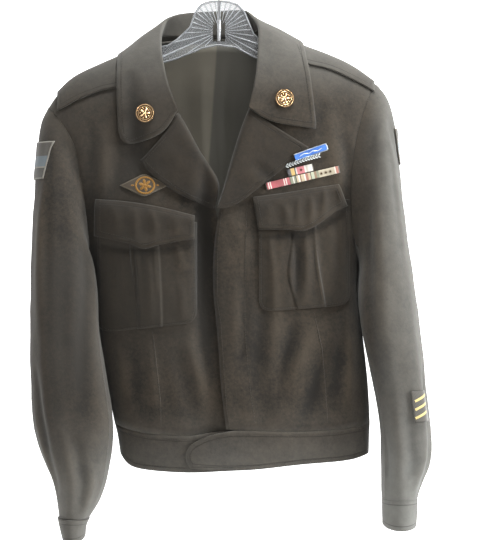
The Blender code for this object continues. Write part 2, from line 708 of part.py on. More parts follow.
def sleeve_points(side, angles, rings):
    """Outer face of a sleeve at angles of the section and shares of the length."""
    left = side == "left"
    sign = 1 if left else -1
    table = SLEEVE_LEFT if left else SLEEVE_RIGHT
    folds = SLEEVE_FOLDS_LEFT if left else SLEEVE_FOLDS_RIGHT
    loop = armhole_loop(side)
    grid = []
    for share in rings:
        row = sleeve_row(table, share)
        centre = Vector(((row.outer_x + row.inner_x) / 2, row.centre_y,
                         (row.outer_z + row.inner_z) / 2))
        fade = max(1 - share / 0.42, 0.0) ** 2
        ring = []
        for angle in angles:
            point = section_point(row, angle)
            if fade:
                point += (loop(angle) - section_point(table[0], angle)) * fade
            lift = sleeve_relief(folds, math.degrees(angle) % 360, share)
            point += (point - centre).normalized() * lift
            if share:
                point = clear_of_body(point, sign)
            if share < 0.2:
                ease = ARMHOLE_EASE + ARMPIT_EASE * max(-math.cos(angle), 0.0)
                least = sign * loop(angle).x + ease + SLEEVE_CLEARANCE * min(share * 24, 2)
                point.x = sign * max(sign * point.x, least)
            ring.append(point)
        grid.append(ring)
    return grid


def clear_of_body(point, sign):
    """The point, moved sideways where a sleeve would sink into the body's side."""
    row = lookup(BODY, point.z)
    depth = row.front if point.y < 0 else row.back
    if abs(point.y) >= depth or point.z > ARMHOLE_LEFT[0].z:
        return point
    share = (1 - (abs(point.y) / depth) ** BODY_SQUARENESS) ** (1 / BODY_SQUARENESS)
    limit = row.centre + sign * (row.half_width * share + SLEEVE_CLEARANCE)
    return Vector((sign * max(sign * point.x, sign * limit), point.y, point.z))


def sleeve_relief(folds, angle, share):
    total = 0.0
    for fold in folds:
        t = (share - fold.share0) / (fold.share1 - fold.share0)
        if 0 < t < 1:
            middle = fold.angle0 + (fold.angle1 - fold.angle0) * t
            away = (angle - middle) / fold.width
            total += fold.height * math.sin(math.pi * t) ** 0.7 * math.exp(-away * away)
    return total


def place_in(values, value):
    """Where a value lies in rising values, as a row or column number with a fraction."""
    i = 0
    while i < len(values) - 2 and value > values[i + 1]:
        i += 1
    return i + (value - values[i]) / (values[i + 1] - values[i])


def level_part_of(grid, columns, heights):
    """Part of a grid between two column numbers, its rows level between two heights."""
    start, end = columns
    strips = []
    for column in [start, *range(math.floor(start) + 1, math.ceil(end)), end]:
        j = min(int(column), len(grid[0]) - 2)
        line = [row[j].lerp(row[j + 1], column - j) for row in grid]
        strips.append([at_height(line, heights[0] + (heights[1] - heights[0]) * share)
                       for share in even(6)])
    return [list(row) for row in zip(*strips)]


def at_height(line, z):
    """Point of a line that runs downwards, at a height."""
    for upper, lower in zip(line, line[1:]):
        if lower.z <= z <= upper.z:
            return upper.lerp(lower, (upper.z - z) / (upper.z - lower.z))
    raise ValueError(f"no point of the line at z {z}")


def add_sleeve(side):
    """The two halves of a sleeve and what is sewn on it."""
    rings = even(20)
    front_seam, back_seam = math.radians(152), math.radians(316 - 360)
    top_angles = [back_seam * (1 - t) ** 1.3 for t in even(4)]
    top_angles = [*top_angles, *(front_seam * t ** 1.3 for t in even(9)[1:])]
    top_angles = with_end_steps(top_angles)
    rest = back_seam + 2 * math.pi - front_seam
    under_angles = [front_seam + rest * t for t in with_end_steps(even(8))]
    top = sleeve_points(side, top_angles, rings)
    under = sleeve_points(side, under_angles, rings)
    half_way = len(rings) // 2
    inside = (top[half_way][0] + top[half_way][-1]) / 2
    for half, grid in (("top", top), ("under", under)):
        outward = grid[half_way][len(grid[0]) // 2] - inside
        grid = set_back(grid, SEAM_SETBACK + GAP, "lrb")
        sheet(f"sleeve_{half}_{side}", grid, WOOL, CLOTH, outward)
    for sewn in SLEEVE_PATCHES:
        if sewn.side == side:
            columns = [place_in(top_angles, math.radians(angle)) for angle in sewn.angles]
            grid = level_part_of(top, columns, sewn.heights)
            outward = grid[len(grid) // 2][len(grid[0]) // 2] - inside
            outward.z = 0
            lift = PATCH_THICKNESS + PATCH_ON_SLEEVE
            sheet(sewn.name, moved_out(grid, lift, outward), PATCH_THICKNESS, EMBROIDERY,
                  outward)


def add_cuff(side):
    table = CUFF_LEFT if side == "left" else CUFF_RIGHT
    grid = []
    for share in even(3):
        row = sleeve_row(table, share)
        ring = []
        for step in range(20):
            angle = 2 * math.pi * step / 20
            point = section_point(row, angle)
            point.z -= 7 * share * max(math.sin(angle), 0.0)
            ring.append(point)
        grid.append(ring)
    sheet(f"cuff_{side}", grid, DOUBLED, CLOTH_FACED, closed=True)


# ---- collar and lapels ---------------------------------------------------------
def collar_row(number):
    """The collar's section: neck, fold, middle and edge, as vectors."""
    row = lookup(COLLAR, number)
    return [Vector(row[i:i + 3]) for i in (1, 4, 7, 10)]


def collar_stations():
    """Row numbers to build the collar at, closer together where it crosses a shoulder."""
    numbers = []
    for row in range(len(COLLAR) - 1):
        steps = 3 if row in COLLAR_OVER_SHOULDERS else 1
        numbers += [row + i / steps for i in range(steps)]
    return numbers + [len(COLLAR) - 1]


def collar_grid():
    """Outer face of the collar, from the neck seam over the fold to the edge."""
    grid = []
    for number in collar_stations():
        neck, fold, middle, edge = collar_row(number)
        down_stand = (neck - fold).normalized()
        down_fall = (middle - fold).normalized()
        top = -(down_stand + down_fall).normalized()
        out = (down_fall - down_stand)
        out = (out - top * out.dot(top)).normalized()
        centre = fold - top * FOLD_RADIUS
        inner, outer = centre - out * FOLD_RADIUS, centre + out * FOLD_RADIUS
        row = [neck, neck.lerp(inner, 0.55), inner]
        for step in (1, 2, 3):
            turn = math.pi * step / 4
            side = out * -math.cos(turn) + top * math.sin(turn)
            row.append(centre + side * FOLD_RADIUS)
        row.append(outer)
        fall = curve([outer, middle, edge])
        row += [off_the_body(fall(t)) for t in (0.25, 0.5, 0.75, 1.0)]
        grid.append(row)
    return grid


def off_the_body(point):
    """The point, moved out where the collar would sink into the shoulder or its loop."""
    point = point.copy()
    least = DOUBLED + CLOTH_ON_CLOTH
    least += (LOOP_STANDOFF + WOOL + 2 * CLOTH_ON_CLOTH) * ramp(point.z, -215, -190)
    for _ in range(3):
        row = lookup(BODY, point.z)
        t = min(abs(point.x - row.centre) / row.half_width, 0.98)
        depth = (row.front if point.y < 0 else row.back)
        depth *= (1 - t ** BODY_SQUARENESS) ** (1 / BODY_SQUARENESS)
        deep = point.y / depth
        high = max(1 - (lookup(SHOULDER_TOP, point.x).z - point.z) / SHOULDER_ROUND, 0.0)
        reach = math.hypot(deep, high)
        slope_out = Vector((0, deep / depth, high / SHOULDER_ROUND)) / reach
        away = (reach - 1) / slope_out.length
        if away < least:
            point += slope_out.normalized() * (least - away)
    return point


def lapel_grid(side):
    """Outer face of a lapel; its first column turns back under the fold."""
    left = side == "left"
    surface = front_left_point if left else front_right_point
    roll = curve(ROLL_LEFT if left else ROLL_RIGHT)
    edge = curve(LAPEL_EDGE_LEFT if left else LAPEL_EDGE_RIGHT)
    notch = curve(LAPEL_TOP_LEFT if left else LAPEL_TOP_RIGHT, smooth=False)
    bottom = curve([roll(0), edge(0)])
    across = [column.share for column in LAPEL_COLUMNS]
    flat = patch(bottom, notch, roll, edge, across, even(12))
    return moved_out(on_surface(flat, surface), lambda i, j: LAPEL_COLUMNS[j].lift)


# ---- pockets --------------------------------------------------------------------
def pocket_bulge(pocket, x, z):
    """How far a filled-out pocket stands off its front."""
    u = (x - pocket.left) / (pocket.right - pocket.left)
    v = (z - pocket.bottom) / (pocket.top - pocket.bottom)
    u, v = min(max(u, 0.0), 1.0), min(max(v, 0.0), 1.0)
    return POCKET_FULLNESS * math.sin(math.pi * u) * math.sin(math.pi * v ** 0.8)


def pocket_grid(pocket, pleat_left, pleat_right, surface):
    """Outer face of a patch pocket with a raised box pleat."""
    pleats = curve(pleat_left), curve(pleat_right)
    corner = [0, 0.13 * POCKET_CORNER, 0.5 * POCKET_CORNER, 1.1 * POCKET_CORNER]
    flat, lifts = [], []
    for v in even(8):
        first, second = pleats[0](v).x, pleats[1](v).x
        columns = [(pocket.left + d, 0) for d in corner]
        columns += [((columns[-1][0] + first) / 2, 0), (first - 1, 0), (first + 1, 1)]
        columns += [((first + second) / 2, 1), (second - 1, 1), (second + 1, 0)]
        columns += [((second + pocket.right - corner[-1]) / 2, 0)]
        columns += [(pocket.right - d, 0) for d in reversed(corner)]
        row, lift = [], []
        for x, raised in columns:
            share = (x - pocket.left) / (pocket.right - pocket.left)
            low = pocket.bottom + pocket.tilt * share + corner_rise(pocket, x)
            high = pocket.top + pocket.top_tilt * share
            row.append(Vector((x, low + (high - low) * v)))
            lift.append(CLOTH_ON_CLOTH + WOOL + raised * PLEAT_HEIGHT)
        flat.append(row)
        lifts.append(lift)
    grid = on_surface(flat, surface)

    def distance(i, j):
        return lifts[i][j] + pocket_bulge(pocket, grid[i][j].x, grid[i][j].z)

    return moved_out(grid, distance)


def corner_rise(pocket, x):
    """Height of a pocket's rounded lower corner over its bottom line."""
    inside = min(x - pocket.left, pocket.right - x)
    reach = max(POCKET_CORNER - inside, 0.0)
    return POCKET_CORNER - math.sqrt(POCKET_CORNER ** 2 - reach ** 2)


def flap_grid(pocket, top, bottom, surface):
    """Outer face of a pointed flap over the pocket's top."""
    top, bottom = curve(top), curve(bottom, smooth=False)
    sides = curve([bottom(0), top(0)]), curve([bottom(1), top(1)])
    flat = patch(bottom, top, *sides, even(14), [0, 0.3, 0.55, 0.75, 0.88, 1])
    grid = on_surface(flat, surface)
    over_pocket = 2 * (CLOTH_ON_CLOTH + WOOL) + PLEAT_HEIGHT
    rise = [over_pocket] * 4 + [over_pocket - 1.6, CLOTH_ON_CLOTH + WOOL]

    def distance(i, j):
        point = grid[i][j]
        return rise[i] + pocket_bulge(pocket, point.x, point.z) * (1 if i < 5 else 0)

    return moved_out(grid, distance)


# ---- waistband, loops and what is pinned or sewn on ------------------------------
def waistband_front(side):
    left = side == "left"
    sign = 1 if left else -1
    surface = front_left_point if left else front_right_point
    end = curve(TAB_END if left else [Point(30, -704), Point(30, -650)])
    side_bottom = side_x(sign, HEM_BACK)

    def side_edge(share):
        z = HEM_SIDE + (WAIST_SIDE - BAND_GAP - HEM_SIDE) * share
        return Vector((side_x(sign, z), z))

    seam = [Point(p.x, p.z - BAND_GAP) for p in WAIST_SEAM_FRONT[1:-1]]
    seam = [p for p in seam if (p.x - end(1).x) * sign > 5]
    hem = [p for p in HEM_FRONT if (p.x - end(0).x) * sign > 5]
    hem = [p for p in hem if (side_bottom - p.x) * sign > 6]
    if not left:
        seam.reverse()
        hem.reverse()
    top = curve([end(1), *TAB_TOP, *seam, side_edge(1)] if left
                else [end(1), *seam, side_edge(1)])
    bottom = curve([end(0), *hem, side_edge(0)])
    across = [math.sin(t * math.pi / 2) for t in even(14)]
    grid = on_surface(patch(bottom, top, end, side_edge, across, even(4)), surface)
    for row in grid:
        row[-1].y = -SIDE_SETBACK

    def lift(i, j):
        return TAB_LIFT * (1 - ramp(grid[i][j].x, 0, TAB_FLAT_X)) if left else 0.0

    return moved_out(grid, lift)


def waistband_back():
    half = [math.sin(t * math.pi / 2) for t in even(8)]
    across = [0.5 - 0.5 * t for t in half[:0:-1]] + [0.5 + 0.5 * t for t in half]

    def side_edge(sign):
        def at(share):
            z = HEM_SIDE + (WAIST_SIDE - BAND_GAP - HEM_SIDE) * share
            return Vector((side_x(sign, z), z))
        return at

    left, right = side_edge(-1), side_edge(1)
    bottom = curve([left(0), Vector((30, HEM_BACK)), right(0)])
    top = curve([left(1), Vector((30, WAIST_SEAM_BACK - BAND_GAP)), right(1)])
    grid = on_surface(patch(bottom, top, left, right, across, even(4)), back_point)
    for row in grid:
        row[0].y = row[-1].y = SIDE_SETBACK
    return grid


def loop_grid(rows, front_surface):
    """A shoulder loop, across the top of the shoulder from front to back."""
    grid = []
    for share in even(8):
        row = lookup(rows, rows[0].x + (rows[-1].x - rows[0].x) * share)
        top = lookup(SHOULDER_TOP, row.x).z
        line = []
        for t in even(8):
            w = -math.sqrt(row.front_drop) * (1 - t) + math.sqrt(row.back_drop) * t
            surface = front_surface if w < 0 else back_point
            line.append(surface(row.x, top - w * w))
        grid.append(line)
    return moved_out(grid, LOOP_STANDOFF + WOOL, UPWARD)


def lining_grid():
    """The back's lining, inside it, with its centre pleat."""
    low = lookup(BODY, WAIST_SEAM_BACK + 4)
    reach = low.half_width * 0.84
    left = curve([Point(low.centre - reach, WAIST_SEAM_BACK + 4),
                  Point(-146, -540), Point(-150, -430), Point(-160, -330),
                  Point(-166, -250), Point(-150, -180)])
    right = curve([Point(low.centre + reach, WAIST_SEAM_BACK + 4),
                   Point(166, -540), Point(162, -430), Point(160, -330),
                   Point(158, -250), Point(142, -172)])
    bottom = curve([left(0), right(0)])
    top = curve([left(1), Point(-110, -152), Point(-80, -134), Point(-50, -122),
                 Point(-8, -120), Point(30, -120), Point(60, -128), Point(100, -152),
                 right(1)])
    grid = on_surface(patch(bottom, top, left, right, even(12), even(10)), back_point)
    inside = -(WOOL + LINING_SLACK)

    def distance(i, j):
        place = (grid[i][j].x - LINING_PLEAT_X) / LINING_PLEAT_WIDTH
        return inside - LINING_PLEAT_DEPTH * math.exp(-place * place)

    return moved_out(grid, distance, BACKWARD)


def strip_on(surface, strip):
    """Outer face of a flat badge or ribbon laid along a front."""
    angle = math.radians(strip.turn)
    along = Vector((math.cos(angle), math.sin(angle))) * strip.width
    up = Vector((-math.sin(angle), math.cos(angle))) * strip.height
    middle = Vector((strip.x, strip.z))
    flat = [[middle + along * (u - 0.5) + up * (v - 0.5) for u in even(strip.columns)]
            for v in even(2)]
    return moved_out(on_surface(flat, surface), strip.lift)


def lozenge_on(surface, strip):
    """Outer face of a lozenge patch, its four corners at the middles of its box."""
    middle = Vector((strip.x, strip.z))
    half_width, half_height = Vector((strip.width / 2, 0)), Vector((0, strip.height / 2))
    left, right = middle - half_width, middle + half_width
    low, high = middle - half_height, middle + half_height
    shares = even(strip.columns)
    flat = patch(curve([left, low]), curve([high, right]), curve([left, high]),
                 curve([low, right]), shares, shares)
    return moved_out(on_surface(flat, surface), strip.lift)


def place_on(grid, x, z):
    """Point and normal of a grid where a straight line from the front meets it."""
    best = None
    for row, across in zip(grid, normals(grid, FORWARD)):
        for point, normal in zip(row, across):
            distance = math.hypot(point.x - x, point.z - z)
            if normal.y < -0.3 and (best is None or distance < best[0]):
                best = (distance, point, normal)
    _, point, normal = best
    drop = ((x - point.x) * normal.x + (z - point.z) * normal.z) / normal.y
    return Vector((x, point.y - drop, z)), normal


def highest_under(grid, centre, normal, radius):
    """How far a grid rises over the plane at centre, within a radius."""
    rise = 0.0
    for lower, upper in zip(grid, grid[1:]):
        for corners in zip(lower, lower[1:], upper, upper[1:]):
            for u in even(4):
                for v in even(4):
                    low, high = corners[0].lerp(corners[1], u), corners[2].lerp(corners[3], u)
                    offset = low.lerp(high, v) - centre
                    up = offset.dot(normal)
                    if (offset - normal * up).length < radius and abs(up) < radius / 2:
                        rise = max(rise, up)
    return rise


def add_disc(name, grid, x, z, material):
    """A round collar badge with a raised middle."""
    point, normal = place_on(grid, x, z)
    rise = highest_under(grid, point, normal, DISC_DIAMETER / 2)
    mesh = bpy.data.meshes.new(name)
    model = bmesh.new()
    radius = DISC_DIAMETER / 2 * MM
    height = DISC_THICKNESS * MM
    bmesh.ops.create_cone(model, cap_ends=True, segments=28, radius1=radius,
                          radius2=radius * DISC_TAPER, depth=height)
    model.to_mesh(mesh)
    model.free()
    obj = mesh_object(name, mesh, material)
    obj.rotation_euler = normal.to_track_quat("Z", "Y").to_euler()
    obj.location = (point + normal * (rise + DISC_STANDOFF + DISC_THICKNESS / 2)) * MM
    for polygon in mesh.polygons:
        polygon.use_smooth = len(polygon.vertices) == 4


# ---- hanger ------------------------------------------------------------------------------
def filled_outline(name, outlines, thickness, material):
    """A flat plate in the XZ plane from closed outlines; later ones are holes."""
    flat = bpy.data.curves.new(name, "CURVE")
    flat.dimensions = "2D"
    flat.fill_mode = "BOTH"
    flat.extrude = thickness / 2 * MM
    for outline in outlines:
        spline = flat.splines.new("POLY")
        spline.points.add(len(outline) - 1)
        for vertex, (x, z) in zip(spline.points, outline):
            vertex.co = (x * MM, z * MM, 0, 1)
        spline.use_cyclic_u = True
    source = bpy.data.objects.new(name + "_outline", flat)
    source.rotation_euler = (math.pi / 2, 0, 0)
    bpy.context.scene.collection.objects.link(source)
    bpy.context.view_layer.update()
    evaluated = source.evaluated_get(bpy.context.evaluated_depsgraph_get())
    mesh = bpy.data.meshes.new_from_object(evaluated)
    mesh.transform(source.matrix_world)
    bpy.data.objects.remove(source, do_unlink=True)
    model = bmesh.new()
    model.from_mesh(mesh)
    bmesh.ops.remove_doubles(model, verts=model.verts, dist=0.00001)
    bmesh.ops.recalc_face_normals(model, faces=model.faces)
    model.to_mesh(mesh)
    model.free()
    obj = mesh_object(name, mesh, material)
    for polygon in mesh.polygons:
        polygon.use_smooth = False
    return obj


def arm_top(start_x, end_x):
    """Points of an arm's top edge, just under the shoulder that rests on it."""
    points = []
    for t in even(8):
        x = start_x + (end_x - start_x) * t
        points.append(Point(x, lookup(SHOULDER_TOP, x).z - WOOL - ARM_CLEARANCE))
    return points


def add_hanger():
    """Arms inside the shoulders, a bridge at the neck, the hook and its pin."""
    top = curve([*arm_top(*ARM_RIGHT_X), *BRIDGE_TOP, *arm_top(*ARM_LEFT_X)])
    outline = [top(t) for t in even(56)] + [curve(HANGER_UNDER)(t) for t in even(40)]
    window = [(-WINDOW_HALF, WINDOW_LOW), (WINDOW_HALF, WINDOW_LOW),
              (WINDOW_HALF, WINDOW_HIGH), (-WINDOW_HALF, WINDOW_HIGH)]
    body = filled_outline("hanger_body", [outline, window], HANGER_THICKNESS, CLEAR)
    bore = cutter_cylinder("hook_bore", WIRE / 2 + GAP, 30, (0, 0, WINDOW_HIGH + 5))
    cut = body.modifiers.new("hook_bore", "BOOLEAN")
    cut.object = bore
    cut.solver = "EXACT"
    cut.operation = "DIFFERENCE"
    add_hook()
    add_pin()


def cutter_cylinder(name, radius, depth, centre):
    mesh = bpy.data.meshes.new(name)
    model = bmesh.new()
    bmesh.ops.create_cone(model, cap_ends=True, segments=20, radius1=radius * MM,
                          radius2=radius * MM, depth=depth * MM)
    model.to_mesh(mesh)
    model.free()
    obj = bpy.data.objects.new(name, mesh)
    obj.location = Vector(centre) * MM
    obj.hide_render = True
    obj.display_type = "WIRE"
    CUTTERS.objects.link(obj)
    return obj


def add_hook():
    """Round wire: up the stem, round the crown over the origin, to an open end."""
    centre_z = WIRE / 2 - HOOK_RADIUS
    points = [(0, PIN_TOP + 0.4), (0, -70), (0, -56)]
    points += [(5, -47), (13.5, -40)]
    for step in range(15):
        turn = math.radians(-38 + (208 + 38) * step / 14)
        points.append((HOOK_RADIUS * math.cos(turn),
                       centre_z + HOOK_RADIUS * math.sin(turn)))
    wire = bpy.data.curves.new("hanger_hook", "CURVE")
    wire.dimensions = "3D"
    wire.bevel_depth = WIRE / 2 * MM
    wire.bevel_resolution = 2
    wire.use_fill_caps = True
    spline = wire.splines.new("POLY")
    spline.points.add(len(points) - 1)
    for vertex, (x, z) in zip(spline.points, points):
        vertex.co = (x * MM, 0, z * MM, 1)
    wire.materials.append(METAL)
    PARTS.objects.link(bpy.data.objects.new("hanger_hook", wire))


def add_pin():
    """The swivel pin under the hook, standing in the bridge's window."""
    mesh = bpy.data.meshes.new("hanger_pin")
    model = bmesh.new()
    height = PIN_TOP - WINDOW_LOW - GAP
    bmesh.ops.create_cone(model, cap_ends=True, segments=20, radius1=PIN_RADIUS * MM,
                          radius2=PIN_RADIUS * MM, depth=height * MM)
    model.to_mesh(mesh)
    model.free()
    obj = mesh_object("hanger_pin", mesh, METAL)
    obj.location = (0, 0, (WINDOW_LOW + GAP + height / 2) * MM)
    for polygon in mesh.polygons:
        polygon.use_smooth = len(polygon.vertices) == 4


# ---- build ----------------------------------------------------------------------------
for old in list(bpy.data.objects):
    bpy.data.objects.remove(old, do_unlink=True)

PARTS = bpy.data.collections.new("ike_jacket_on_hanger")
CUTTERS = bpy.data.collections.new("cutters")
for collection in (PARTS, CUTTERS):
    bpy.context.scene.collection.children.link(collection)

CLOTH = new_material("wool", (0.055, 0.047, 0.036), 0.95)
CLOTH_FACED = new_material("wool_faced", (0.06, 0.052, 0.04), 0.95)
LINING_CLOTH = new_material("lining_cloth", (0.09, 0.085, 0.06), 0.8)
RIBBON = new_material("ribbon", (0.35, 0.1, 0.12), 0.7)
ENAMEL = new_material("blue_enamel", (0.06, 0.16, 0.5), 0.25)
EMBROIDERY = new_material("embroidery", (0.35, 0.22, 0.06), 0.85)
GILT = new_material("gilt", (0.75, 0.5, 0.22), 0.3, metallic=1.0)
METAL = new_material("steel", (0.6, 0.6, 0.6), 0.25, metallic=1.0)
CLEAR = new_material("clear_plastic", (0.9, 0.92, 0.92), 0.08, alpha=0.35)

sheet("front_left", front_panel("left"), WOOL, CLOTH, FORWARD)
sheet("front_right", front_panel("right"), WOOL, CLOTH, FORWARD)
sheet("back", back_panel(), WOOL, CLOTH, BACKWARD)
sheet("back_lining", lining_grid(), LINING, LINING_CLOTH, BACKWARD)
for wearer_side in ("left", "right"):
    add_sleeve(wearer_side)
    add_cuff(wearer_side)
    sheet(f"lapel_{wearer_side}", lapel_grid(wearer_side), DOUBLED, CLOTH_FACED, FORWARD)
    sheet(f"waistband_{wearer_side}", waistband_front(wearer_side), DOUBLED, CLOTH_FACED,
          FORWARD)
sheet("waistband_back", waistband_back(), DOUBLED, CLOTH_FACED, BACKWARD)

collar = collar_grid()
sheet("collar", collar, DOUBLED, CLOTH_FACED, UPWARD)
add_disc("collar_disc_left", collar, 89, -203, GILT)
add_disc("collar_disc_right", collar, -99, -223, GILT)

sheet("pocket_left", pocket_grid(POCKET_LEFT, *PLEAT_LEFT, front_left_point), WOOL, CLOTH,
      FORWARD)
sheet("pocket_right", pocket_grid(POCKET_RIGHT, *PLEAT_RIGHT, front_right_point), WOOL, CLOTH,
      FORWARD)
sheet("flap_left", flap_grid(POCKET_LEFT, FLAP_TOP_LEFT, FLAP_BOTTOM_LEFT, front_left_point),
      WOOL, CLOTH_FACED, FORWARD)
sheet("flap_right", flap_grid(POCKET_RIGHT, FLAP_TOP_RIGHT, FLAP_BOTTOM_RIGHT,
                              front_right_point), WOOL, CLOTH_FACED, FORWARD)
sheet("shoulder_loop_left", loop_grid(LOOP_LEFT, front_left_point), WOOL, CLOTH_FACED, UPWARD)
sheet("shoulder_loop_right", loop_grid(LOOP_RIGHT, front_right_point), WOOL, CLOTH_FACED,
      UPWARD)

sheet("ribbon_lower", strip_on(front_left_point, RIBBON_LOWER), BAR_THICKNESS, RIBBON, FORWARD)
sheet("ribbon_upper", strip_on(front_left_point, RIBBON_UPPER), BAR_THICKNESS, RIBBON, FORWARD)
sheet("badge_bar", strip_on(front_left_point, BADGE_BAR), BAR_THICKNESS, ENAMEL, FORWARD)
sheet("chest_patch", lozenge_on(front_right_point, CHEST_PATCH), PATCH_THICKNESS, EMBROIDERY,
      FORWARD)
add_hanger()
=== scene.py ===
import math

import bpy
import numpy as np
from mathutils import Matrix, Vector, noise
from mathutils.bvhtree import BVHTree


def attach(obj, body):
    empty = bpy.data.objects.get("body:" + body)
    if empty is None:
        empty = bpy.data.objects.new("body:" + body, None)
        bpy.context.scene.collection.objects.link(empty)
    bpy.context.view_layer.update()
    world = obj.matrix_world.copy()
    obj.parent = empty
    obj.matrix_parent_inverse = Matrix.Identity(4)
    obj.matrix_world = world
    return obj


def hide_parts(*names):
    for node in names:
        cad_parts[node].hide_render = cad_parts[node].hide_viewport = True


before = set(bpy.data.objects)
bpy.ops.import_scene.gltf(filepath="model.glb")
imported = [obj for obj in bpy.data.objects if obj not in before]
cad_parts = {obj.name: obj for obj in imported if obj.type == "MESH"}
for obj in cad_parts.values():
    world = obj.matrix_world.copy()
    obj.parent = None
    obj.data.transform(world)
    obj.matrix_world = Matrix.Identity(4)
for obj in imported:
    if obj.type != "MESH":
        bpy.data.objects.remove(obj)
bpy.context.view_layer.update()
mm = 0.001
print("frame loaded,", len(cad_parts), "nodes")


# camera, lights and the pale sweep behind
cameraLook = {"place": (0.0274, -3.2, -0.434), "lens": 155.7}
bpy.ops.object.camera_add(location=cameraLook["place"], rotation=(math.pi / 2, 0, 0))
camera = bpy.context.object
camera.name = "camera"
camera.data.lens = cameraLook["lens"]
camera.data.sensor_width = 36
camera.data.clip_start = 0.05
bpy.context.scene.camera = camera

lightLook = {   # place, what it points at, size, watts, colour
    "keyLight": ((2.5, -0.75, 0.3), (0.1, 0, -0.4), 0.8, 120, (0.93, 0.97, 1.0)),
    "fillLight": ((0.2, -3.0, 0.6), (0, 0, -0.4), 1.4, 7, (1.0, 0.96, 0.91)),
    "topLight": ((0.25, -0.45, 1.3), (0.0, 0, -0.2), 0.7, 60, (0.97, 0.99, 1.0)),
    "lowLight": ((0.8, -1.2, -1.9), (0.1, 0, -0.75), 0.7, 46, (0.93, 0.97, 1.0)),
}
for name, (place, target, size, watts, colour) in lightLook.items():
    aim = Vector(target) - Vector(place)
    bpy.ops.object.light_add(type="AREA", location=place,
                             rotation=aim.to_track_quat("-Z", "Y").to_euler())
    light = bpy.context.object
    light.name = name
    light.data.size = size
    light.data.energy = watts
    light.data.color = colour

world = bpy.context.scene.world or bpy.data.worlds.new("world")
bpy.context.scene.world = world
world.use_nodes = True
world.node_tree.nodes["Background"].inputs["Color"].default_value = (1, 1, 1, 1)
world.node_tree.nodes["Background"].inputs["Strength"].default_value = 0.13
bpy.context.scene.view_settings.view_transform = "Standard"
print("camera and lights made")


# picking and finishing
def deselectAll():
    if bpy.context.object and bpy.context.object.mode != "OBJECT":
        bpy.ops.object.mode_set(mode="OBJECT")
    bpy.ops.object.select_all(action="DESELECT")


def pick(*pieces):
    deselectAll()
    for piece in pieces:
        piece.select_set(True)
    bpy.context.view_layer.objects.active = pieces[0]


def setDown():
    bpy.ops.object.transform_apply(location=True, rotation=True, scale=True)


def leaveEdit():
    bpy.ops.object.mode_set(mode="OBJECT")


def editAll(piece):
    pick(piece)
    bpy.ops.object.mode_set(mode="EDIT")
    bpy.ops.mesh.select_all(action="SELECT")


def applyAll(piece):
    pick(piece)
    for modifier in list(piece.modifiers):
        bpy.ops.object.modifier_apply(modifier=modifier.name)
    setDown()


def bevelled(piece, width, segments, angle=30):
    bevel = piece.modifiers.new("bevel", "BEVEL")
    bevel.width = width * mm
    bevel.segments = segments
    bevel.angle_limit = math.radians(angle)
    applyAll(piece)


def ball(segments):
    bpy.ops.mesh.primitive_uv_sphere_add(segments=segments, ring_count=6, radius=1)
    return bpy.context.object


def linked(name, data):
    made = bpy.data.objects.new(name, data)
    bpy.context.scene.collection.objects.link(made)
    return made


def turned(angle, axis="Y"):
    return Matrix.Rotation(angle, 4, axis)


def shifted(x, y, z):
    return Matrix.Translation((x * mm, y * mm, z * mm))


def sized(x, y, z):
    return Matrix.Diagonal((x * mm, y * mm, z * mm, 1))


def pointsOf(piece):
    flat = np.empty(len(piece.data.vertices) * 3)
    piece.data.vertices.foreach_get("co", flat)
    return flat.reshape(-1, 3)


def putPoints(piece, points):
    piece.data.vertices.foreach_set("co", points.ravel())
    piece.data.update()


# shaders
class Wire:
    def __init__(self, tree, link=None):
        self.tree = tree
        self.link = link

    def node(self, kind, settings=None, values=None, output=0):
        made = self.tree.nodes.new(kind)
        for name, setting in (settings or {}).items():
            if name == "stops":
                ramp = made.color_ramp
                ramp.interpolation = setting[0]
                for place, colour in setting[1][2:]:
                    ramp.elements.new(place)
                for element, (place, colour) in zip(ramp.elements, setting[1]):
                    element.position = place
                    element.color = (*colour, 1)
            else:
                setattr(made, name, setting)
        for name, value in (values or {}).items():
            plug = made.inputs[name]
            if isinstance(value, Wire):
                self.tree.links.new(value.link, plug)
            else:
                plug.default_value = value
        return Wire(self.tree, made.outputs[output])

    def maths(self, operation, first, second=0.5):
        return self.node("ShaderNodeMath", {"operation": operation}, {0: first, 1: second})

    def __add__(self, other):
        return self.maths("ADD", self, other)

    def __radd__(self, other):
        return self.maths("ADD", other, self)

    def __sub__(self, other):
        return self.maths("SUBTRACT", self, other)

    def __rsub__(self, other):
        return self.maths("SUBTRACT", other, self)

    def __mul__(self, other):
        return self.maths("MULTIPLY", self, other)

    def __rmul__(self, other):
        return self.maths("MULTIPLY", other, self)

    def __truediv__(self, other):
        return self.maths("DIVIDE", self, other)

    def __neg__(self):
        return self.maths("MULTIPLY", self, -1.0)

    def held(self):
        return self.node("ShaderNodeClamp", None, {"Value": self})

    def size(self):
        return self.maths("ABSOLUTE", self)

    def steps(self, low, high):
        return self.node("ShaderNodeMapRange", {"interpolation_type": "SMOOTHSTEP"},
                         {"Value": self, "From Min": low, "From Max": high})

    def colourMix(self, first, second, how="MIX"):
        return self.node("ShaderNodeMix", {"data_type": "RGBA", "blend_type": how},
                         {0: self, 6: first, 7: second}, 2)

    def along(self, direction):
        return self.node("ShaderNodeVectorMath", {"operation": "DOT_PRODUCT"},
                         {0: self, 1: direction}, "Value")

    def mark(self, name):
        return self.node("ShaderNodeAttribute", {"attribute_name": name}, None, "Fac")

    def waves(self, count):
        return self.maths("SINE", self * count) * 0.5 + 0.5

    def noiseAt(self, scale, detail=2.0, roughness=0.5):
        return self.node("ShaderNodeTexNoise", None,
                         {"Vector": self, "Scale": scale, "Detail": detail,
                          "Roughness": roughness}, 0)


def rgb(red, green, blue):
    return (red, green, blue, 1.0)


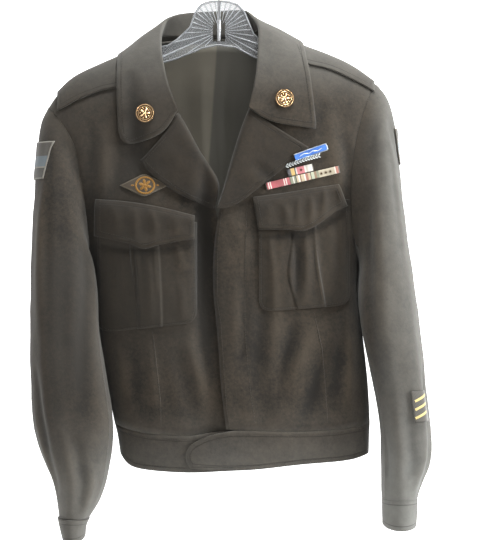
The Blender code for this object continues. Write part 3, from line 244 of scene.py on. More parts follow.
def newMaterial(name, **fixed):
    material = bpy.data.materials.new(name)
    material.use_nodes = True
    tree = material.node_tree
    shader = tree.nodes["Principled BSDF"]
    for socket, value in fixed.items():
        shader.inputs[socket.replace("_", " ")].default_value = value
    start = Wire(tree)
    place = start.node("ShaderNodeTexCoord", output="Object")
    return material, shader, place


def feed(shader, socket, wire):
    shader.id_data.links.new(wire.link, shader.inputs[socket])


def coat(shader, colour, roughness):
    feed(shader, "Base Color", colour)
    feed(shader, "Roughness", roughness)


def bump(shader, height, strength, distance):
    feed(shader, "Normal", height.node("ShaderNodeBump", None, {
        "Height": height, "Strength": strength, "Distance": distance}))


def woolMaterial(name, look):
    material, shader, place = newMaterial(
        name, Sheen_Weight=look["sheen"], Sheen_Roughness=0.55,
        Sheen_Tint=rgb(0.93, 0.93, 0.9), Specular_IOR_Level=0.18)
    broad = place.noiseAt(7, 3, 0.6)
    patchy = place.noiseAt(52, 4, 0.7)
    rumple = place.noiseAt(70, 3, 0.6)
    fleck = place.noiseAt(240, 2, 0.6)
    nap = place.noiseAt(620, 2, 0.7)
    twillWay = place.along((1, 0.35, 1.25))   # serge ribs run up to the wearer's left
    twill = twillWay.waves(2900)
    tone = (broad - 0.5) * 0.7 + (patchy - 0.5) * 0.95 + (fleck - 0.5) * 0.9 + (nap - 0.5) * 0.8
    # painted shade and painted highlight: the tone darkens in the hollows of the folds and
    # lightens on their ridges
    relief = place.mark("relief")
    tone = (tone + (twill - 0.5) * 0.12 + relief * look["relief"] + 0.5).held()
    colour = tone.colourMix(look["dark"], look["light"])
    hue = place.noiseAt(3.2, 2, 0.5).steps(0.42, 0.66)
    colour = (hue * 0.5).colourMix(colour, look["grey"])
    # painted light: paler on one sleeve, on the cuffs and hem and on the shoulders, where the
    # light falls brightest
    across, up = place.along((1, 0, 0)), place.along((0, 0, 1))
    fade = across.steps(0.195, 0.235) * look["sleeveFade"]
    fade = fade + (-up).steps(0.6, 0.76) * look["hemLight"]
    fade = fade + up.steps(-0.22, -0.13) * look["shoulderLight"]
    colour = (fade * (0.8 + (patchy - 0.5) * 0.6)).held().colourMix(colour, look["fadedAndLit"])
    rim = place.mark("rimGap")
    edge = 1.0 - rim.steps(0.0, 0.0026)
    colour = (edge * look["worn"]).colourMix(colour, look["wornTone"])
    # painted shade: a dark line along the stitching's groove, beside the bump that sinks it
    offset = (rim - look["stitchAt"]) / 0.0008
    groove = (1.0 - offset.size()).held()
    colour = (groove * look["stitch"]).colourMix(colour, look["grooveShade"])
    coat(shader, colour, (0.86 + (nap - 0.5) * 0.2).held())
    height = (nap * 0.4 + rumple * 3.2 + twill * 0.3) - groove * look["stitch"] * 1.6
    bump(shader, height, 0.32, 0.0006)
    return material


woolLook = {
    "dark": rgb(0.008, 0.0062, 0.0042), "light": rgb(0.041, 0.0305, 0.0195),
    "grey": rgb(0.027, 0.0235, 0.019), "relief": 0.4, "sheen": 0.12, "worn": 0.0,
    "fadedAndLit": rgb(0.16, 0.158, 0.145), "sleeveFade": 0.38, "hemLight": 0.4,
    "shoulderLight": 0.32, "wornTone": rgb(0.08, 0.07, 0.056), "stitchAt": 0.02, "stitch": 0.0,
    "grooveShade": rgb(0.012, 0.01, 0.008),
}
stitchedLook = {**woolLook, "stitchAt": 0.0062, "stitch": 0.75, "worn": 0.1}
# painted shade: the pockets, flaps and lapels stand out towards the lights, so they get darker
# copies of the wool's colours; their stitching and rubbed edges are real
pocketShadedLook = {**woolLook, "light": rgb(0.030, 0.0218, 0.0132), "grey": rgb(0.0195, 0.017, 0.0133),
              "stitchAt": 0.0034, "stitch": 0.7, "worn": 0.05}
facingShadedLook = {**stitchedLook, "light": rgb(0.025, 0.0178, 0.0105), "worn": 0.03,
              "grey": rgb(0.016, 0.0138, 0.0108)}
woolCloth = woolMaterial("wool", woolLook)
woolStitched = woolMaterial("wool_topstitched", stitchedLook)
woolPocketShaded = woolMaterial("wool_pocket_shaded", pocketShadedLook)
woolFacingShaded = woolMaterial("wool_facing_shaded", facingShadedLook)


def liningMaterial():
    material, shader, place = newMaterial("lining_twill", Sheen_Weight=0.1,
                                          Specular_IOR_Level=0.3)
    broad = place.noiseAt(14, 3, 0.6)
    way = place.along((1, 0.2, 0.9))
    rib = way.waves(3600)
    tone = ((broad - 0.5) * 0.8 + (rib - 0.5) * 0.15 + 0.5).held()
    cloth = tone.colourMix(rgb(0.1, 0.09, 0.07), rgb(0.19, 0.172, 0.135))
    shade = place.along((1, 0, -0.07)).steps(0.0035, 0.0075) * 0.75
    coat(shader, shade.colourMix(cloth, rgb(0.055, 0.053, 0.045)), 0.62 + (broad - 0.5) * 0.2)
    bump(shader, rib + broad, 0.2, 0.0004)
    return material


liningTwill = liningMaterial()


def pickPart(piece, faces=None, edges=None):
    # into edit mode with just the faces or the edges that pass the test
    pick(piece)
    bpy.ops.object.mode_set(mode="EDIT")
    bpy.ops.mesh.select_mode(type="FACE" if faces else "EDGE")
    bpy.ops.mesh.select_all(action="DESELECT")
    leaveEdit()
    if faces:
        for face in piece.data.polygons:
            face.select = faces(face.normal)
    else:
        for edge in piece.data.edges:
            edge.select = edges(*(piece.data.vertices[i].co for i in edge.vertices))
    bpy.ops.object.mode_set(mode="EDIT")


# the pale floor, swept up all round, brighter behind
sweepLook = {"radius": 8.0, "floor": -0.95, "height": 7.0, "bend": 1.6,
             "glow": 0.95, "dim": rgb(0.06, 0.06, 0.06)}


def makeSweep(look):
    bpy.ops.mesh.primitive_circle_add(vertices=96, radius=look["radius"], fill_type="NGON",
                                      location=(0, 0, look["floor"]))
    sweep = bpy.context.object
    sweep.name = "floor_sweep"
    setDown()
    pickPart(sweep, edges=lambda a, b: True)
    bpy.ops.mesh.extrude_edges_move(
        TRANSFORM_OT_translate={"value": (0, 0, look["height"])})
    leaveEdit()
    low = look["floor"] + 0.01
    pickPart(sweep, edges=lambda a, b: max(a.z, b.z) < low)
    bpy.ops.mesh.bevel(offset=look["bend"], segments=12, affect="EDGES")
    leaveEdit()
    bpy.ops.object.shade_smooth()
    material, shader, place = newMaterial("pale_paper", Roughness=0.9,
                                          Emission_Strength=look["glow"])
    behind = place.along((0, 1, 0)).steps(-1.5, 1.5)
    feed(shader, "Base Color", behind.colourMix(rgb(0.86, 0.86, 0.86), rgb(0.9, 0.9, 0.9)))
    feed(shader, "Emission Color", behind.colourMix(look["dim"], rgb(1, 1, 1)))
    sweep.data.materials.append(material)


makeSweep(sweepLook)


# the creases: start x z, end x z, bow sideways, width, height, all in mm
frontFolds = [
    (70, -372, 74, -640, 3, 9, 1.6), (62, -470, 48, -640, -4, 12, -2.2),
    (104, -500, 66, -610, 4, 11, -3.0), (128, -508, 88, -590, 3, 10, 2.6),
    (138, -548, 110, -644, 4, 9, -3.2), (180, -515, 171, -642, 2, 8, 2.4),
    (168, -500, 150, -618, 3, 9, -2.6), (36, -360, 30, -640, 1, 5, -1.2),
    (22, -420, 20, -560, 2, 7, 1.2), (30, -560, 44, -648, 3, 10, 1.4),
    (-95, -525, -84, -640, 2, 6, 1.5), (-112, -530, -104, -640, -3, 9, -1.9),
    (-60, -535, -38, -640, 5, 11, -2.0), (-44, -520, -18, -620, 4, 9, 1.8),
    (-140, -520, -126, -640, 3, 8, 1.6), (-20, -400, -12, -520, 2, 10, 1.5),
    (152, -215, 168, -330, -4, 11, 2.2), (170, -250, 176, -380, 2, 8, -2.2),
    (140, -200, 120, -262, 3, 10, -1.6), (-172, -230, -176, -380, 3, 9, -2.0),
    (-150, -235, -164, -330, 4, 12, 2.0), (-128, -270, -150, -345, 3, 9, -1.6),
    (-60, -335, -30, -352, 2, 8, -1.2), (45, -290, 90, -335, 3, 9, -1.4),
    (8, -352, 40, -420, 5, 9, 1.4),
    (24, -380, 34, -396, 1, 5, -1.0), (20, -436, 36, -452, -1, 5, -1.1),
    (22, -492, 38, -505, 1, 5, -1.0), (26, -538, 42, -556, -1, 5, -1.2),
    (34, -590, 52, -604, 1, 5, -1.1), (-184, -330, -172, -470, -3, 8, -2.6),
    (-27, -330, -22, -500, 2, 9, -3.4), (-172, -340, -167, -515, 1, 6, -2.0),
    (47, -330, 46, -470, 1, 5, -1.2), (50, -640, 96, -600, 4, 10, -1.8),
    (-110, -640, -60, -600, -4, 10, -1.6), (-120, -165, -108, -320, 0, 13, -3.6),
    (-19, -270, -15, -600, 0, 12, -4.4),
]
backFolds = [
    (-150, -260, -165, -420, 5, 12, -2.5), (165, -255, 172, -420, -5, 12, -2.5),
    (-100, -180, -70, -330, 8, 16, 2.2), (110, -180, 80, -340, -8, 16, 2.2),
    (-140, -430, -120, -640, 4, 12, 2.8), (-95, -500, -98, -642, 3, 9, -2.4),
    (-30, -470, -22, -642, -4, 11, 2.6), (14, -520, 20, -642, 3, 9, -2.2),
    (86, -480, 74, -642, 5, 12, -2.8), (128, -440, 140, -640, -4, 12, 2.8),
    (-8, -160, -2, -420, 4, 18, 1.6), (-60, -300, -40, -460, 6, 12, -1.8),
    (50, -300, 62, -470, -6, 12, -1.8), (0, -125, 60, -150, 3, 8, -1.2),
]
# a sleeve's creases: angle and z at each end, bow, width in degrees and height
leftSleeveFolds = [
    (62, -235, 58, -735, 4, 7, 1.3), (72, -250, 66, -700, -3, 9, -1.6),
    (98, -300, 92, -560, 5, 10, 1.8), (112, -330, 110, -600, 4, 8, -1.8),
    (38, -560, 56, -735, 3, 8, -2.2), (46, -600, 74, -742, -3, 6, 1.9),
    (84, -590, 78, -742, 4, 8, -1.9), (102, -610, 96, -742, 3, 8, 1.7),
    (20, -640, 36, -740, 4, 8, 1.6), (128, -640, 118, -742, 3, 8, -1.6),
    (30, -215, 60, -270, 8, 12, -1.4), (80, -225, 110, -300, 8, 12, -1.8),
    (60, -690, 96, -712, 6, 7, -1.6), (225, -300, 240, -640, 8, 12, 2.4),
    (262, -330, 268, -700, -6, 11, -2.4), (300, -380, 296, -720, 5, 11, 2.2),
    (330, -420, 336, -680, 4, 9, -1.8),
]
rightSleeveFolds = [
    (58, -260, 56, -760, 4, 7, 1.3), (70, -290, 68, -720, -3, 9, -1.8),
    (84, -290, 80, -660, 4, 15, -3.0), (110, -380, 107, -655, 2, 11, -4.4),
    (40, -560, 52, -742, 3, 8, -2.2), (53, -330, 53, -520, 3, 9, 2.0),
    (76, -640, 80, -766, 4, 8, 2.0), (96, -660, 92, -766, 3, 8, -1.9),
    (28, -620, 40, -750, 4, 8, 1.7), (112, -690, 104, -766, 3, 7, 1.6),
    (34, -250, 66, -310, 8, 12, -1.4), (90, -255, 118, -320, 8, 12, -1.6),
    (225, -320, 240, -660, 8, 12, 2.4), (262, -350, 268, -720, -6, 11, -2.4),
    (300, -400, 296, -740, 5, 11, 2.2), (330, -440, 336, -700, 4, 9, -1.8),
]


def foldLift(across, up, folds):
    lift = np.zeros(len(across))
    for x0, z0, x1, z1, bow, width, height in folds:
        runX, runZ = x1 - x0, z1 - z0
        length = math.hypot(runX, runZ)
        share = ((across - x0) * runX + (up - z0) * runZ) / length ** 2
        inside = np.clip(share, 0, 1)
        aside = ((across - x0) * runZ - (up - z0) * runX) / length
        aside = aside + bow * 4 * inside * (1 - inside)
        fade = np.sin(np.pi * inside) ** 0.7
        away = aside / (width * (0.75 + 0.5 * inside))
        lift += 1.7 * height * fade * np.exp(-away * away)
    return lift


def unevenness(places, size, seed):
    return np.array([noise.noise(Vector(p) / size + Vector((seed, 0, seed))) for p in places])


edgeAngles = {"cloth": 52, "pocket": 20, "rim": 48, "shade": 50}   # degrees
weldGap = 0.02 * mm


def clothFrom(nodeName, pieceName, cuts, sharp=edgeAngles["cloth"]):
    piece = linked(pieceName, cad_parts[nodeName].data.copy())
    piece.data.name = pieceName
    editAll(piece)
    bpy.ops.mesh.select_mode(type="VERT")
    bpy.ops.mesh.remove_doubles(threshold=weldGap)
    bpy.ops.mesh.tris_convert_to_quads(face_threshold=math.radians(50),
                                       shape_threshold=math.radians(60))
    bpy.ops.mesh.select_all(action="DESELECT")
    bpy.ops.mesh.select_mode(type="EDGE")
    bpy.ops.mesh.edges_select_sharp(sharpness=math.radians(sharp))
    bpy.ops.transform.edge_crease(value=1)
    leaveEdit()
    smoother = piece.modifiers.new("smoother", "SUBSURF")
    smoother.levels = smoother.render_levels = cuts
    bpy.ops.object.modifier_apply(modifier="smoother")
    bpy.ops.object.shade_smooth_by_angle(angle=math.radians(edgeAngles["shade"]))
    return piece


reliefLook = {"full": 4, "low": -1.7, "high": 1}   # mm for a full share, and its limits


def markRelief(piece, lift):
    # how far a spot stands out of its folds; the wool paints shade into the hollows and highlight
    # onto the ridges from it, and the metals dull their hollows with it
    relief = piece.data.attributes.new("relief", "FLOAT", "POINT")
    share = np.clip(lift / reliefLook["full"], reliefLook["low"], reliefLook["high"])
    relief.data.foreach_set("value", share.astype(np.float32))


ruffles = {   # height, size and seed of each layer of unevenness, mm
    "body": ((1.1, 46, 3), (0.45, 15, 9)),
    "sleeve": ((1.0, 44, 5), (0.4, 14, 12)),
}


def ruffled(places, kind):
    return sum(height * unevenness(places, size, seed) for height, size, seed in ruffles[kind])


def shapeOnBody(piece, own=()):
    points = pointsOf(piece)
    x, y, z = points.T / mm
    front = foldLift(x, z, frontFolds)
    back = foldLift(x, z, backFolds)
    lift = np.where(y < 0, front, back)
    flat = np.stack((x, np.where(y < 0, -50.0, 50.0), z), 1)
    lift += ruffled(flat, "body")
    if own:
        lift += foldLift(x, z, own)
    markRelief(piece, lift)
    hold = np.clip(np.abs(y) / 20, 0, 1)
    points[:, 1] += np.sign(y) * lift * hold * mm
    putPoints(piece, points)


sleeveAxes = {   # z, x and y of each sleeve's middle, mm
    "left": ((-180, 205, 0), (-300, 220, -6), (-405, 226, -13), (-520, 238, -21),
             (-620, 249, -26), (-690, 253, -29), (-800, 245, -30)),
    "right": ((-200, -208, 0), (-310, -212, -6), (-410, -210, -13), (-520, -206, -21),
              (-630, -198, -26), (-720, -188, -30), (-820, -197, -30)),
}


def sleeveAngles(points, side):
    z = points[:, 2] / mm
    axis = np.array(sleeveAxes[side])[::-1]
    middleX = np.interp(z, axis[:, 0], axis[:, 1])
    middleY = np.interp(z, axis[:, 0], axis[:, 2])
    sign = 1 if side == "left" else -1
    outX = sign * (points[:, 0] / mm - middleX)
    outY = points[:, 1] / mm - middleY
    angle = np.degrees(np.arctan2(-outY, outX)) % 360
    reach = np.maximum(np.hypot(outX, outY), 1e-6)
    return angle, sign * outX / reach, outY / reach, z


# a hanging sleeve falls in towards the side: height, spread, mm, angle, width
sleeveFall = {"left": [(-505, 70, 7, 128, 36), (-450, 90, 8, 232, 34)],
              "right": [(-430, 95, 15, 128, 38), (-450, 90, 8, 232, 34)]}


def shapeOnSleeve(piece, side, folds):
    points = pointsOf(piece)
    angle, outX, outY, z = sleeveAngles(points, side)
    # a degree round the sleeve is about as wide as a millimetre along it
    lift = foldLift(angle, z, folds) + foldLift(angle - 360, z, folds)
    around = np.stack((40 * np.cos(np.radians(angle)), 40 * np.sin(np.radians(angle)), z), 1)
    lift += ruffled(around, "sleeve")
    markRelief(piece, lift)
    top = -190 if side == "left" else -220
    hold = np.clip((top - z) / 60, 0.15, 1)
    points[:, 0] += outX * lift * hold * mm
    points[:, 1] += outY * lift * hold * mm
    inwards = -1 if side == "left" else 1
    for height, spread, amount, middle, width in sleeveFall[side]:
        share = np.exp(-((z - height) / spread) ** 2 - ((angle - middle) / width) ** 2)
        points[:, 0] += inwards * amount * share * mm
    putPoints(piece, points)


def markRims(piece, keep=None):
    pick(piece)
    bpy.ops.object.mode_set(mode="EDIT")
    bpy.ops.mesh.select_mode(type="EDGE")
    bpy.ops.mesh.select_all(action="DESELECT")
    bpy.ops.mesh.edges_select_sharp(sharpness=math.radians(edgeAngles["rim"]))
    leaveEdit()
    mesh = piece.data
    points = pointsOf(piece)
    ends = [tuple(edge.vertices) for edge in mesh.edges if edge.select]
    if keep:
        ends = [pair for pair in ends if keep(points[pair[0]] / mm)]
    gap = np.full(len(points), 0.05)
    for first, second in ends:
        start, run = points[first], points[second] - points[first]
        offset = points - start
        share = np.clip(offset @ run / max(run @ run, 1e-12), 0, 1)
        away = offset - share[:, None] * run
        gap = np.minimum(gap, np.sqrt((away * away).sum(1)))
    attribute = mesh.attributes.new("rimGap", "FLOAT", "POINT")
    attribute.data.foreach_set("value", gap.astype(np.float32))
    return gap


def sinkSeams(piece, gap, depth, width):
    points = pointsOf(piece)
    y = points[:, 1]
    hold = np.clip(np.abs(y) / (20 * mm), 0, 1)
    points[:, 1] -= np.sign(y) * depth * mm * np.exp(-(gap / (width * mm)) ** 2) * hold
    putPoints(piece, points)


def treeOf(*pieces):
    corners, faces = [], []
    for piece in pieces:
        start = len(corners)
        corners += [vertex.co.copy() for vertex in piece.data.vertices]
        faces += [[start + i for i in face.vertices] for face in piece.data.polygons]
    return BVHTree.FromPolygons(corners, faces)


def drawTo(piece, gap, others, reach, width, rest=0.1):
    # the piece's rim is drawn over to the pieces it is sewn to
    tree = treeOf(*others)
    points = pointsOf(piece)
    for i in np.nonzero(gap < 2.5 * width * mm)[0]:
        spot, _, _, distance = tree.find_nearest(Vector(points[i]), reach * mm)
        if spot is None or distance < rest * mm:
            continue
        share = math.exp(-(gap[i] / (width * mm)) ** 2) * (1 - distance / (reach * mm)) ** 0.5
        step = (np.array(spot) - points[i]) * (1 - rest * mm / distance)
        points[i] += step * share
    putPoints(piece, points)


def finishPiece(piece, material, slotName, *nodes):
    piece.data.materials.clear()
    piece.data.materials.append(material)
    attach(piece, "root")
    if nodes:
        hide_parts(*nodes)
    return piece


# the panels
pocketFolds = {
    "pocket_left": [(97, -378, 99, -486, 7, 5, -2.0), (132, -372, 142, -486, -3, 3, 1.5),
                    (105, -380, 108, -486, 4, 7, -1.4), (36, -388, 189, -341, -18, 5, -1.8),
                    (66, -385, 74, -480, 3, 6, 1.0), (84, -385, 86, -470, -2, 6, 0.9),
                    (116, -382, 112, -484, 4, 6, 1.6), (150, -365, 146, -480, 3, 7, 1.0),
                    (138, -405, 152, -450, 3, 6, -0.3), (164, -360, 168, -470, 2, 5, 0.8)],
    "pocket_right": [(-117.5, -388, -108, -516, 1, 1.7, -1.9),
                     (-112, -388, -103, -516, 1, 3, 0.7), (-188, -392, -12, -392, -15, 5, -1.8),
                     (-88, -390, -82, -470, 0, 2, 0.8),
                     (-150, -400, -146, -500, 3, 6, 1.0), (-130, -400, -126, -506, -2, 7, 0.9),
                     (-96, -410, -94, -512, 3, 7, 1.5), (-60, -398, -48, -440, 3, 7, 1.2),
                     (-52, -450, -50, -505, 3, 6, 0.9)],
    "flap_left": [(36, -382, 189, -335, -18, 9, 1.5), (88, -345, 92, -378, 2, 6, 1.5),
                  (108, -335, 108, -382, -1, 5, 1.2), (124, -334, 122, -376, 2, 5, 1.8),
                  (142, -322, 136, -368, 3, 5, 1.6),
                  (160, -322, 166, -348, 2, 5, 1.4), (66, -345, 66, -378, 2, 7, 0.8)],
    "flap_right": [(-188, -386, -12, -386, -15, 9, 1.5), (-140, -350, -140, -390, 2, 8, 0.9),
                   (-112, -350, -108, -402, -2, 6, 1.3), (-90, -352, -86, -402, 2, 6, 1.2),
                   (-58, -362, -58, -394, 2, 7, 0.9)],
}
liningFolds = [
    (-24, -150, -30, -420, 6, 9, 5.0), (-44, -150, -48, -380, -4, 8, -2.0),
    (4, -140, 0, -460, 3, 6, 4.5), (16, -150, 14, -460, -3, 9, -2.0),
    (-70, -170, -60, -360, 4, 12, 3.0), (44, -170, 34, -380, 5, 12, 3.5),
]

garment = {}
for nodeName in ("front_left", "front_right", "back"):
    piece = clothFrom(nodeName, "panel_" + nodeName, 2)
    shapeOnBody(piece)
    gap = markRims(piece)
    sinkSeams(piece, gap, depth=0.5, width=4)
    if nodeName == "back":
        drawTo(piece, gap, list(garment.values()), reach=4, width=5)
    garment[nodeName] = finishPiece(piece, woolCloth, "wool", nodeName)
bodyPanels = list(garment.values())
print("fronts and back shaped")

lining = clothFrom("back_lining", "lining_back", 2)
liningPoints = pointsOf(lining)
liningLift = foldLift(liningPoints[:, 0] / mm, liningPoints[:, 2] / mm, liningFolds)
liningPoints[:, 1] -= np.maximum(liningLift, -2.0) * mm
putPoints(lining, liningPoints)
garment["back_lining"] = finishPiece(lining, liningTwill, "lining_cloth", "back_lining")

for side, folds in (("left", leftSleeveFolds), ("right", rightSleeveFolds)):
    cuff = clothFrom(f"cuff_{side}", f"band_cuff_{side}", 2)
    markRims(cuff)
    garment[f"cuff_{side}"] = finishPiece(cuff, woolStitched, "wool_faced", f"cuff_{side}")
    sewnTo = bodyPanels + [cuff]
    for half in ("top", "under"):
        nodeName = f"sleeve_{half}_{side}"
        piece = clothFrom(nodeName, "panel_" + nodeName, 2)
        shapeOnSleeve(piece, side, folds)
        drawTo(piece, markRims(piece), sewnTo, reach=9, width=9)
        garment[nodeName] = finishPiece(piece, woolCloth, "wool", nodeName)
        sewnTo = sewnTo + [piece]
print("sleeves and cuffs shaped")


def awayFromRoll(side):
    roll = {"left": ((-2, -350), (15, -293), (41, -216)),
            "right": ((-5, -350), (0, -313), (-24, -276), (-54, -222))}[side]

    def keep(point):
        for (x0, z0), (x1, z1) in zip(roll, roll[1:]):
            runX, runZ = x1 - x0, z1 - z0
            share = ((point[0] - x0) * runX + (point[2] - z0) * runZ) / (runX ** 2 + runZ ** 2)
            share = min(max(share, 0), 1)
            if math.hypot(point[0] - x0 - share * runX, point[2] - z0 - share * runZ) < 7:
                return False
        return True

    return keep


def offNeckSeam(point):
    return abs(point[0] + 10) > 95 or point[1] > 46 or point[2] < -225


for nodeName in ("lapel_left", "lapel_right", "collar", "waistband_left", "waistband_right",
                 "waistband_back", "pocket_left", "pocket_right", "flap_left", "flap_right",
                 "shoulder_loop_left", "shoulder_loop_right"):
    kind = nodeName.split("_")[0]
    finer = kind == "pocket"   # the pleat's steps are shallow
    piece = clothFrom(nodeName, "piece_" + nodeName, 3 if finer else 2,
                      edgeAngles["pocket" if finer else "cloth"])
    shapeOnBody(piece, pocketFolds.get(nodeName, ()))
    keep = None
    if kind == "lapel":
        keep = awayFromRoll(nodeName.split("_")[1])
    if kind == "collar":
        keep = offNeckSeam
    gap = markRims(piece, keep)
    if kind == "waistband":
        drawTo(piece, gap, bodyPanels, reach=3, width=4)
    material = {"pocket": woolPocketShaded, "flap": woolFacingShaded, "lapel": woolFacingShaded}.get(
        kind, woolStitched)
    slotName = "wool" if kind == "pocket" else "wool_faced"
    garment[nodeName] = finishPiece(piece, material, slotName, nodeName)
print("collar, lapels, pockets and bands shaped")


# laying small pieces on the cloth: modelled flat in X and Z, standing out along -Y
frontWay = (Vector((0, 0, 0)), Vector((1, 0, 0)), Vector((0, 0, 1)), Vector((0, -1, 0)))
castFrom, castReach = 0.25, 0.5   # metres: how far out a ray starts and how far it goes


def landing(tree, way, x, z):
    origin, across, up, out = way
    flat = origin + across * x + up * z
    hit, normal, _, _ = tree.ray_cast(flat + out * castFrom, -out, castReach)
    return flat, hit, normal


def layOn(piece, tree, way=frontWay):
    points = pointsOf(piece)
    for i, (x, y, z) in enumerate(points):
        flat, hit, _ = landing(tree, way, x, z)
        if hit is None:
            hit = tree.find_nearest(flat)[0]
        points[i] = hit + way[3] * -y
    putPoints(piece, points)


def joinAll(name, pieces):
    pick(*pieces)
    bpy.ops.object.join()
    joined = bpy.context.object
    joined.name = joined.data.name = name
    setDown()
    return joined


def moved(piece, matrix):
    piece.data.transform(matrix)
    if matrix.determinant() < 0:
        piece.data.flip_normals()
    piece.data.update()
    return piece


def copied(piece, matrix):
    twin = piece.copy()
    twin.data = piece.data.copy()
    bpy.context.scene.collection.objects.link(twin)
    return moved(twin, matrix)


# metals and enamel
def metalMaterial(name, colour, dull, rough):
    material, shader, place = newMaterial(name, Metallic=1.0)
    wear = place.noiseAt(420, 3, 0.6)
    broad = place.noiseAt(60, 2, 0.5)
    relief = place.mark("relief")
    worn = (wear - 0.5) * 1.2 + (broad - 0.5) - relief * 0.7 + 0.45
    coat(shader, worn.held().colourMix(colour, dull),
         (rough + (wear - 0.5) * 0.25 - relief * 0.16).held())
    bump(shader, wear, 0.12, 0.0003)
    return material


giltMetal = metalMaterial("gilt", rgb(0.78, 0.55, 0.31), rgb(0.085, 0.042, 0.016), 0.3)
silverMetal = metalMaterial("silver", rgb(0.72, 0.74, 0.72), rgb(0.3, 0.32, 0.32), 0.35)
bronzeMetal = metalMaterial("bronze", rgb(0.12, 0.08, 0.05), rgb(0.05, 0.035, 0.025), 0.45)
wireMetal = metalMaterial("hook_wire", rgb(0.62, 0.63, 0.64), rgb(0.4, 0.4, 0.41), 0.22)


def enamelMaterial():
    material, shader, place = newMaterial("blue_enamel", Coat_Roughness=0.08)
    shader.inputs["Coat Weight"].default_value = 0.5
    cloud = place.noiseAt(160, 2, 0.5)
    coat(shader, cloud.colourMix(rgb(0.025, 0.09, 0.33), rgb(0.06, 0.18, 0.5)),
         0.25 + cloud * 0.15)
    return material


blueEnamel = enamelMaterial()


def threadMaterial(name, dark, light, ribAcross=2600, shine=0.3):
    material, shader, place = newMaterial(name, Sheen_Weight=shine, Sheen_Roughness=0.4,
                                          Specular_IOR_Level=0.3)
    way = place.along((1, 0.3, 0.5))
    strand = way.waves(ribAcross)
    fuzz = place.noiseAt(900, 2, 0.6)
    tone = (strand * 0.5 + fuzz * 0.6 - 0.05).held()
    coat(shader, tone.colourMix(dark, light), 0.6 + fuzz * 0.2)
    bump(shader, tone, 0.35, 0.0004)
    return material


woolThread = threadMaterial("wool_thread", rgb(0.012, 0.01, 0.007), rgb(0.04, 0.034, 0.025),
                            shine=0.0)
goldThread = threadMaterial("gold_thread", rgb(0.11, 0.05, 0.006), rgb(0.25, 0.12, 0.016))
paleThread = threadMaterial("pale_gold_thread", rgb(0.3, 0.23, 0.08), rgb(0.55, 0.44, 0.19))
darkBacking = threadMaterial("dark_backing", rgb(0.035, 0.031, 0.025), rgb(0.08, 0.072, 0.06))


# ribbons: bands of colour along the bar, each from a share of its length
def ribbonMaterial(name, centre, length, turn, bands):
    material, shader, place = newMaterial(name, Sheen_Weight=0.3, Sheen_Roughness=0.4,
                                          Specular_IOR_Level=0.35)
    cos, sin = math.cos(math.radians(turn)), math.sin(math.radians(turn))
    along = place.along((cos, 0, sin)) - (centre[0] * cos + centre[1] * sin) * mm
    share = (along / (length * mm) + 0.5).held()
    stops = [(band[0], band[1]) for band in bands]
    colour = share.node("ShaderNodeValToRGB", {"stops": ("CONSTANT", stops)}, {"Fac": share})
    rib = along.waves(5200)
    soil = place.noiseAt(130, 3, 0.6)
    fadedAndLit = (soil * 0.5).colourMix(colour, rgb(0.3, 0.26, 0.2))
    coat(shader, (rib * 0.3).colourMix(fadedAndLit, rgb(0.1, 0.08, 0.06), "MULTIPLY"), 0.55 + soil * 0.2)
    bump(shader, rib, 0.3, 0.0003)
    return material


black, crimson, white = (0.01, 0.01, 0.01), (0.36, 0.03, 0.06), (0.72, 0.68, 0.62)
olive, buff, brown = (0.16, 0.19, 0.12), (0.5, 0.4, 0.26), (0.2, 0.1, 0.05)
brick, pale, sand = (0.33, 0.1, 0.07), (0.42, 0.47, 0.34), (0.46, 0.4, 0.29)
lowerBands = [
    (0.0, black), (0.012, crimson), (0.035, white), (0.045, crimson), (0.06, white),
    (0.072, crimson), (0.245, white), (0.257, crimson), (0.272, white), (0.284, crimson),
    (0.327, black), (0.338, olive), (0.368, white), (0.383, olive), (0.405, black),
    (0.418, buff), (0.445, white), (0.462, brown), (0.482, buff), (0.52, white),
    (0.54, brick), (0.575, buff), (0.607, black), (0.62, pale), (0.66, brown),
    (0.69, olive), (0.72, sand), (0.935, white), (0.952, brick), (0.985, black),
]
upperBands = [
    (0.0, (0.02, 0.03, 0.06)), (0.13, (0.62, 0.4, 0.1)), (0.27, (0.03, 0.05, 0.06)),
    (0.32, white), (0.36, (0.62, 0.16, 0.2)), (0.66, white), (0.72, (0.5, 0.47, 0.4)),
    (0.8, white), (0.97, black),
]
ribbonLook = {   # middle x z, length, turn, bands
    "ribbon_lower": ((113, -310), 102, 13.5, lowerBands),
    "ribbon_upper": ((110, -299.6), 35, 13.5, upperBands),
}
for nodeName, (centre, length, turn, bands) in ribbonLook.items():
    piece = clothFrom(nodeName, "silk_" + nodeName, 2)
    shapeOnBody(piece)
    material = ribbonMaterial("silk_" + nodeName, centre, length, turn, bands)
    garment[nodeName] = finishPiece(piece, material, "ribbon", nodeName)

starLook = {"size": 2.4, "height": 0.7, "spots": [(138.5, -304.0), (144.5, -302.6),
                                                 (150.5, -301.1), (111, -299.4)]}


def makeStars(look):
    bpy.ops.mesh.primitive_circle_add(vertices=10, radius=look["size"] * mm,
                                      fill_type="NGON", rotation=(math.pi / 2, 0, 0))
    star = bpy.context.object
    setDown()
    points = pointsOf(star)
    points[1::2] *= 0.42
    putPoints(star, points)
    editAll(star)
    bpy.ops.mesh.extrude_region_move(
        TRANSFORM_OT_translate={"value": (0, -look["height"] * mm, 0)})
    bpy.ops.mesh.select_all(action="SELECT")
    bpy.ops.mesh.normals_make_consistent(inside=False)
    leaveEdit()
    copies = [copied(star, shifted(x, 0, z)) for x, z in look["spots"]]
    bpy.data.objects.remove(star)
    stars = joinAll("ribbon_stars", copies)
    layOn(stars, treeOf(garment["ribbon_lower"], garment["ribbon_upper"]))
    finishPiece(stars, bronzeMetal, "steel")


makeStars(starLook)
print("ribbons laid")


# collar discs: a rope rim, a ring and a rosette
discLook = {"radius": 12.7, "base": 1.7, "rope": 11.5, "strands": 40, "ring": 8.9, "petals": 5,
            "lean": 0.7, "sunk": 0.4}


